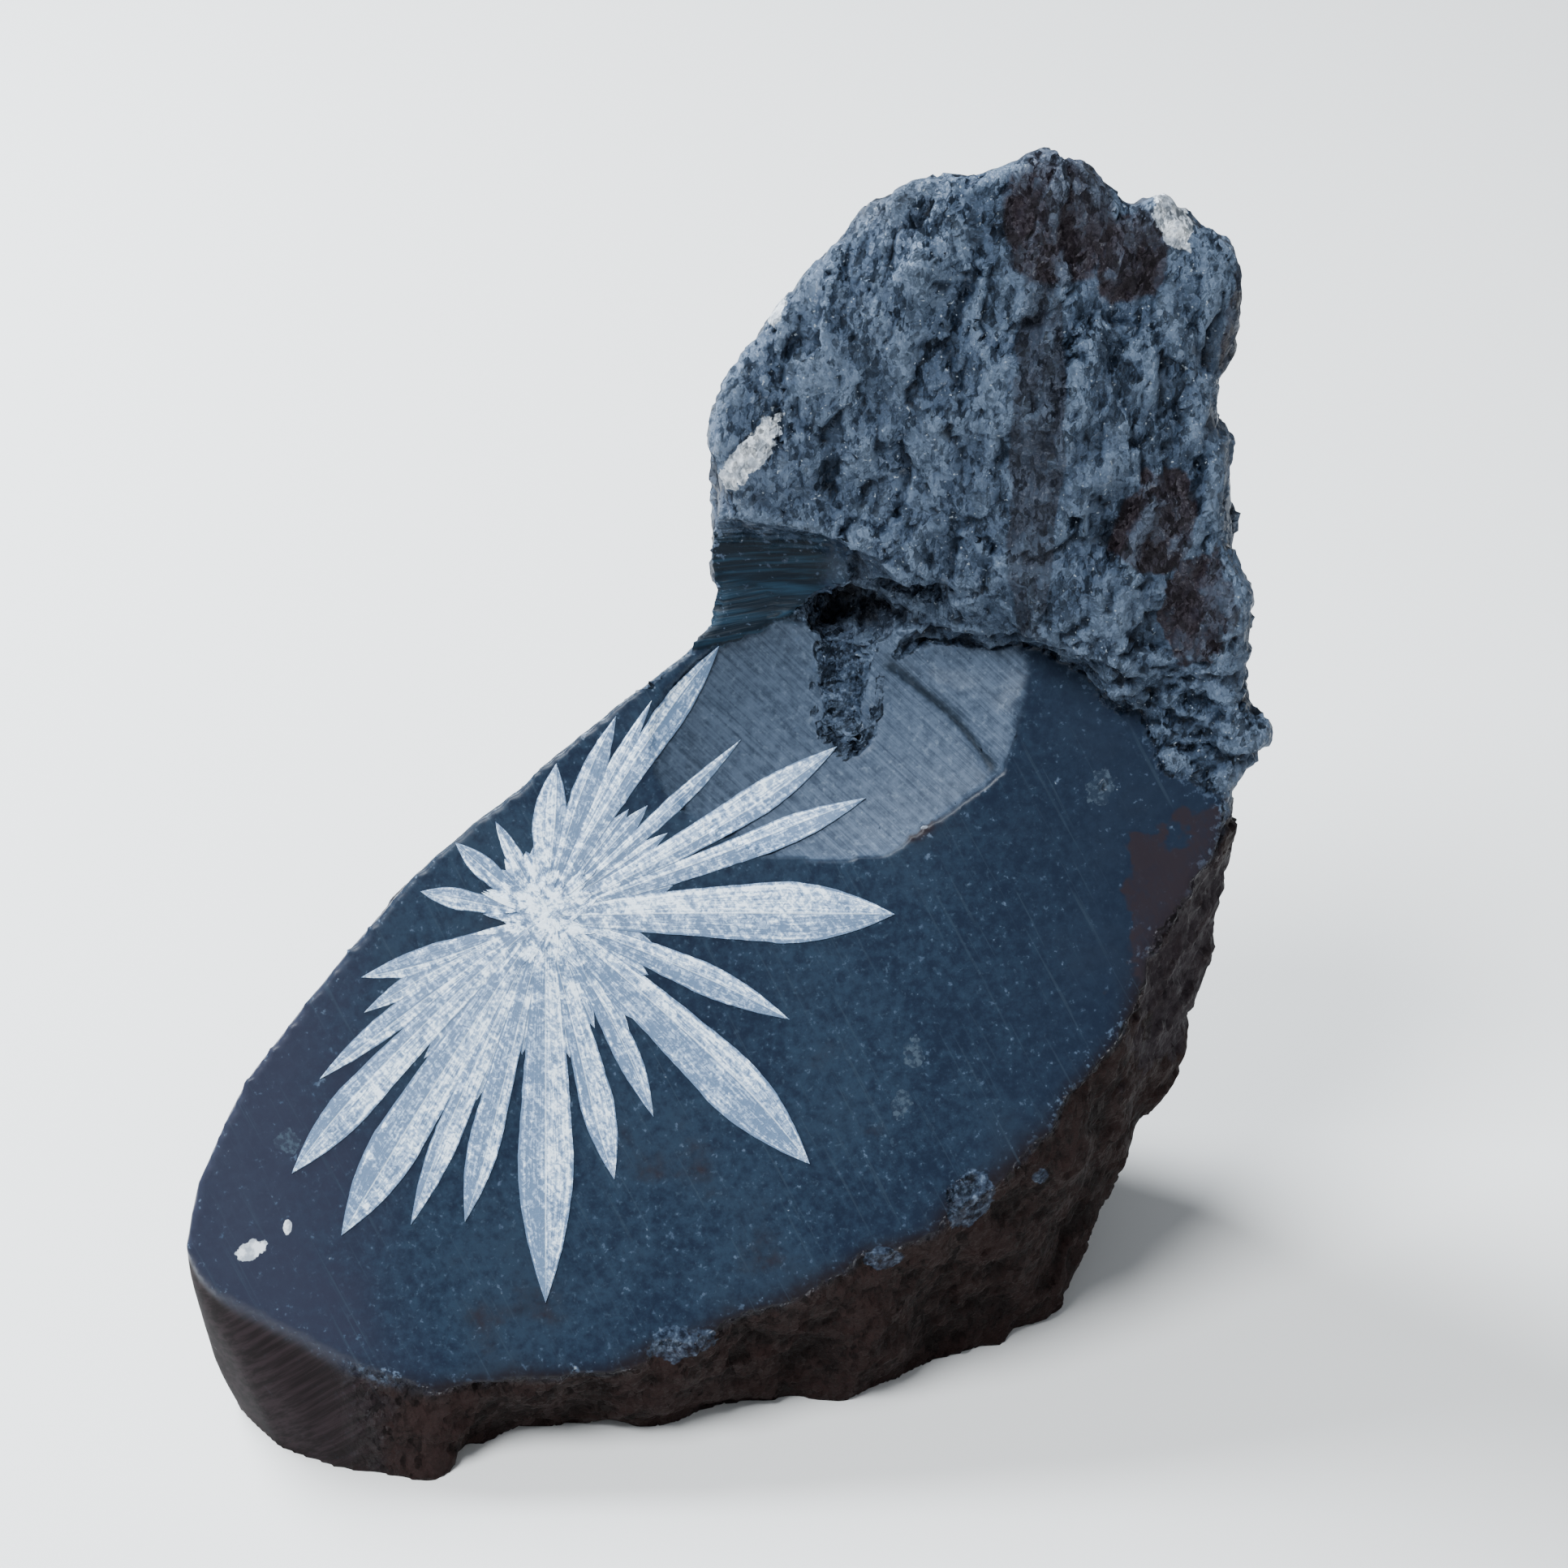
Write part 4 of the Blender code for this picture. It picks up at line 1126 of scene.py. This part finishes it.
def any_value(low, high, draw):
    """Random value for each needle; the draws are told apart by a number added to the seed."""
    node = add(felt_tree, "FunctionNodeRandomValue", data_type="FLOAT")
    seed = calc(felt_tree, "ADD", given["Seed"], draw)
    sockets = [s for s in node.inputs if s.enabled]
    for socket, value in zip(sockets, (low, high, index, seed)):
        if isinstance(value, bpy.types.NodeSocket):
            felt_tree.links.new(value, socket)
        else:
            socket.default_value = value
    return [s for s in node.outputs if s.enabled][0]


felt_points = add(felt_tree, "GeometryNodePoints")
put(felt_tree, felt_points, "Count", given["Count"])
spot_node = add(felt_tree, "ShaderNodeCombineXYZ")
against = calc(felt_tree, "MULTIPLY", given["Scatter"], -1.0)
put(felt_tree, spot_node, "X", any_value(against, given["Scatter"], 7.0))
put(felt_tree, spot_node, "Y", any_value(against, given["Scatter"], 8.0))
put(felt_tree, spot_node, "Z", any_value(NEEDLE_LIFT[0] * MM, NEEDLE_LIFT[1] * MM, 3.0))
put(felt_tree, felt_points, "Position", spot_node.outputs[0])
pick = add(felt_tree, "GeometryNodeObjectInfo")
put(felt_tree, pick, "Object", needle)
turn_node = add(felt_tree, "ShaderNodeCombineXYZ")
put(felt_tree, turn_node, "Z", any_value(0.0, 2.0 * math.pi, 0.0))
size_node = add(felt_tree, "ShaderNodeCombineXYZ")
put(felt_tree, size_node, "X", any_value(given["Least length"], given["Most length"], 1.0))
put(felt_tree, size_node, "Y", any_value(given["Least width"], given["Most width"], 2.0))
put(felt_tree, size_node, "Z", MM)
instances = add(felt_tree, "GeometryNodeInstanceOnPoints")
put(felt_tree, instances, "Points", felt_points.outputs[0])
put(felt_tree, instances, "Instance", pick.outputs["Geometry"])
put(felt_tree, instances, "Rotation", turn_node.outputs[0])
put(felt_tree, instances, "Scale", size_node.outputs[0])
marked = add(felt_tree, "GeometryNodeStoreNamedAttribute", data_type="FLOAT", domain="INSTANCE")
put(felt_tree, marked, "Geometry", instances.outputs[0])
put(felt_tree, marked, "Name", "tone")
put(felt_tree, marked, "Value", any_value(*NEEDLE_TONE, 5.0))
laid = add(felt_tree, "GeometryNodeTransform")
put(felt_tree, laid, "Geometry", marked.outputs[0])
put(felt_tree, laid, "Translation", on_face(*FLOWER_AT) * MM)
put(felt_tree, laid, "Rotation", (FACE_SLOPE, 0.0, 0.0))
real = add(felt_tree, "GeometryNodeRealizeInstances")
put(felt_tree, real, "Geometry", laid.outputs[0])
finish_node = add(felt_tree, "GeometryNodeSetMaterial")
put(felt_tree, finish_node, "Geometry", real.outputs[0])
put(felt_tree, finish_node, "Material", given["Finish"])
put(felt_tree, result, "Geometry", finish_node.outputs[0])

# The crystals' material: white to blue-grey fibres along each blade, one half of a blade
# paler than the other, a mottle of fine grains, dull scratches across from the grinding,
# and at each blade's edge a painted highlight and a painted line of shade.
CLEAR = (0.090, 0.145, 0.235)
PALE = (0.265, 0.365, 0.515)
MILK = (0.800, 0.910, 1.000)
CRYSTAL_SPECULAR = 0.40
HATCH_TURN = math.radians(50.0)
HEART_REACH = (0.012, 0.004)
FAR_END = (0.0285, 0.0300)
CRYSTAL_BUMP = 0.00015

crystal_look = bpy.data.materials.new("Pale crystal")
crystal_look.use_nodes = True
tree = crystal_look.node_tree
shader = tree.nodes["Principled BSDF"]
shader.inputs["Specular IOR Level"].default_value = CRYSTAL_SPECULAR
coords = add(tree, "ShaderNodeTexCoord").outputs["Object"]
own = add(tree, "ShaderNodeUVMap", uv_map="UVMap").outputs["UV"]
tone = kept(tree, "tone")
rib = kept(tree, "rib")
brink = kept(tree, "brink")
flake = grain(tree, coords, 1900.0, 2.0, 0.6, 0.8)
blotch = grain(tree, coords, 600.0, 4.0, 0.7)
fibre = grain(tree, mapped(tree, own, (2.6, 22.0, 1.0)), 1.0, 4.0, 0.7)
in_plane = mapped(tree, coords, turn=(-FACE_SLOPE, 0.0, 0.0))
hatch = wheel_lines(tree, in_plane, (0.0, 0.0, HATCH_TURN), (240.0, 2000.0, 240.0), 3.0, 0.6)
away = add(tree, "ShaderNodeVectorMath", operation="DISTANCE")
put(tree, away, 0, coords)
put(tree, away, 1, on_face(*FLOWER_AT) * MM)
heart = ramp(tree, away.outputs["Value"], *HEART_REACH)
far_end = calc(tree, "ADD", away.outputs["Value"], off_half(tree, blotch, 0.012))
light = calc(tree, "SUBTRACT", calc(tree, "MULTIPLY", tone, 0.40), 0.10)
for part, weight in (
    (ramp(tree, rib, -0.03, 0.03), 0.38),
    # Painted highlight just inside each blade's edge.
    (ramp(tree, brink, 0.25, 0.6), 0.22),
    # Painted shade: a dark line at each blade's very edge, as shade between overlapping blades.
    (ramp(tree, brink, 0.66, 0.90), -0.55),
    (ramp(tree, far_end, *FAR_END), -0.16),
):
    light = calc(tree, "ADD", light, calc(tree, "MULTIPLY", part, weight))
for part, weight in ((fibre, 2.0), (blotch, 1.2), (flake, 2.1), (hatch, 1.4)):
    light = calc(tree, "ADD", light, off_half(tree, part, weight))
light = calc(tree, "ADD", light, calc(tree, "MULTIPLY", heart, off_half(tree, blotch, 3.0)))
colour = blend(tree, ramp(tree, light, 0.02, 0.52), CLEAR, PALE)
colour = blend(tree, ramp(tree, light, 0.48, 0.98), colour, MILK)
ridge_line = ramp(tree, calc(tree, "ABSOLUTE", rib), 0.05, 0.0, 0.0, 0.5)
colour = blend(tree, ridge_line, colour, MILK)
put(tree, shader, "Base Color", colour)
put(tree, shader, "Roughness", ramp(tree, flake, 0.3, 0.7, 0.55, 0.38))
bump = add(tree, "ShaderNodeBump")
put(tree, bump, "Strength", 0.6)
put(tree, bump, "Distance", CRYSTAL_BUMP)
put(tree, bump, "Height", calc(tree, "ADD", flake, fibre))
put(tree, shader, "Normal", bump.outputs["Normal"])

felt_carrier = bpy.data.objects.new("Needle felt", bpy.data.meshes.new("Needle felt"))
bpy.context.scene.collection.objects.link(felt_carrier)
felt_modifier = felt_carrier.modifiers.new("Needle felt", "NODES")
felt_modifier.node_group = felt_tree
for item in felt_tree.interface.items_tree:
    if item.name == "Finish":
        felt_modifier[item.identifier] = crystal_look
felt_mesh = evaluated_mesh(felt_carrier)
bpy.data.objects.remove(felt_carrier)
bpy.data.objects.remove(needle)
felt_mesh.materials.clear()

# Blades and felt are one piece. The values that the material reads are stored once more on
# the joined mesh. The felt has no rib or brink of its own, so it gets a middle value.
UNMARKED = 0.5

whole_bm = bmesh.new()
whole_bm.from_mesh(flower_mesh)
whole_bm.from_mesh(felt_mesh)
whole_mesh = bpy.data.meshes.new("Crystal flower")
whole_bm.to_mesh(whole_mesh)
whole_bm.free()
flower = bpy.data.objects.new("Crystal_flower", whole_mesh)
bpy.context.scene.collection.objects.link(flower)
whole_mesh.materials.append(crystal_look)
for name in ("tone", "rib", "brink"):
    joined = []
    for piece in (flower_mesh, felt_mesh):
        values = np.full(len(piece.vertices), UNMARKED, np.float32)
        if name in piece.attributes:
            piece.attributes[name].data.foreach_get("value", values)
        joined.append(values)
    if name in whole_mesh.attributes:
        whole_mesh.attributes.remove(whole_mesh.attributes[name])
    store(whole_mesh, name, np.concatenate(joined))
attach(flower, "root")
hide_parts("crystal_flower")
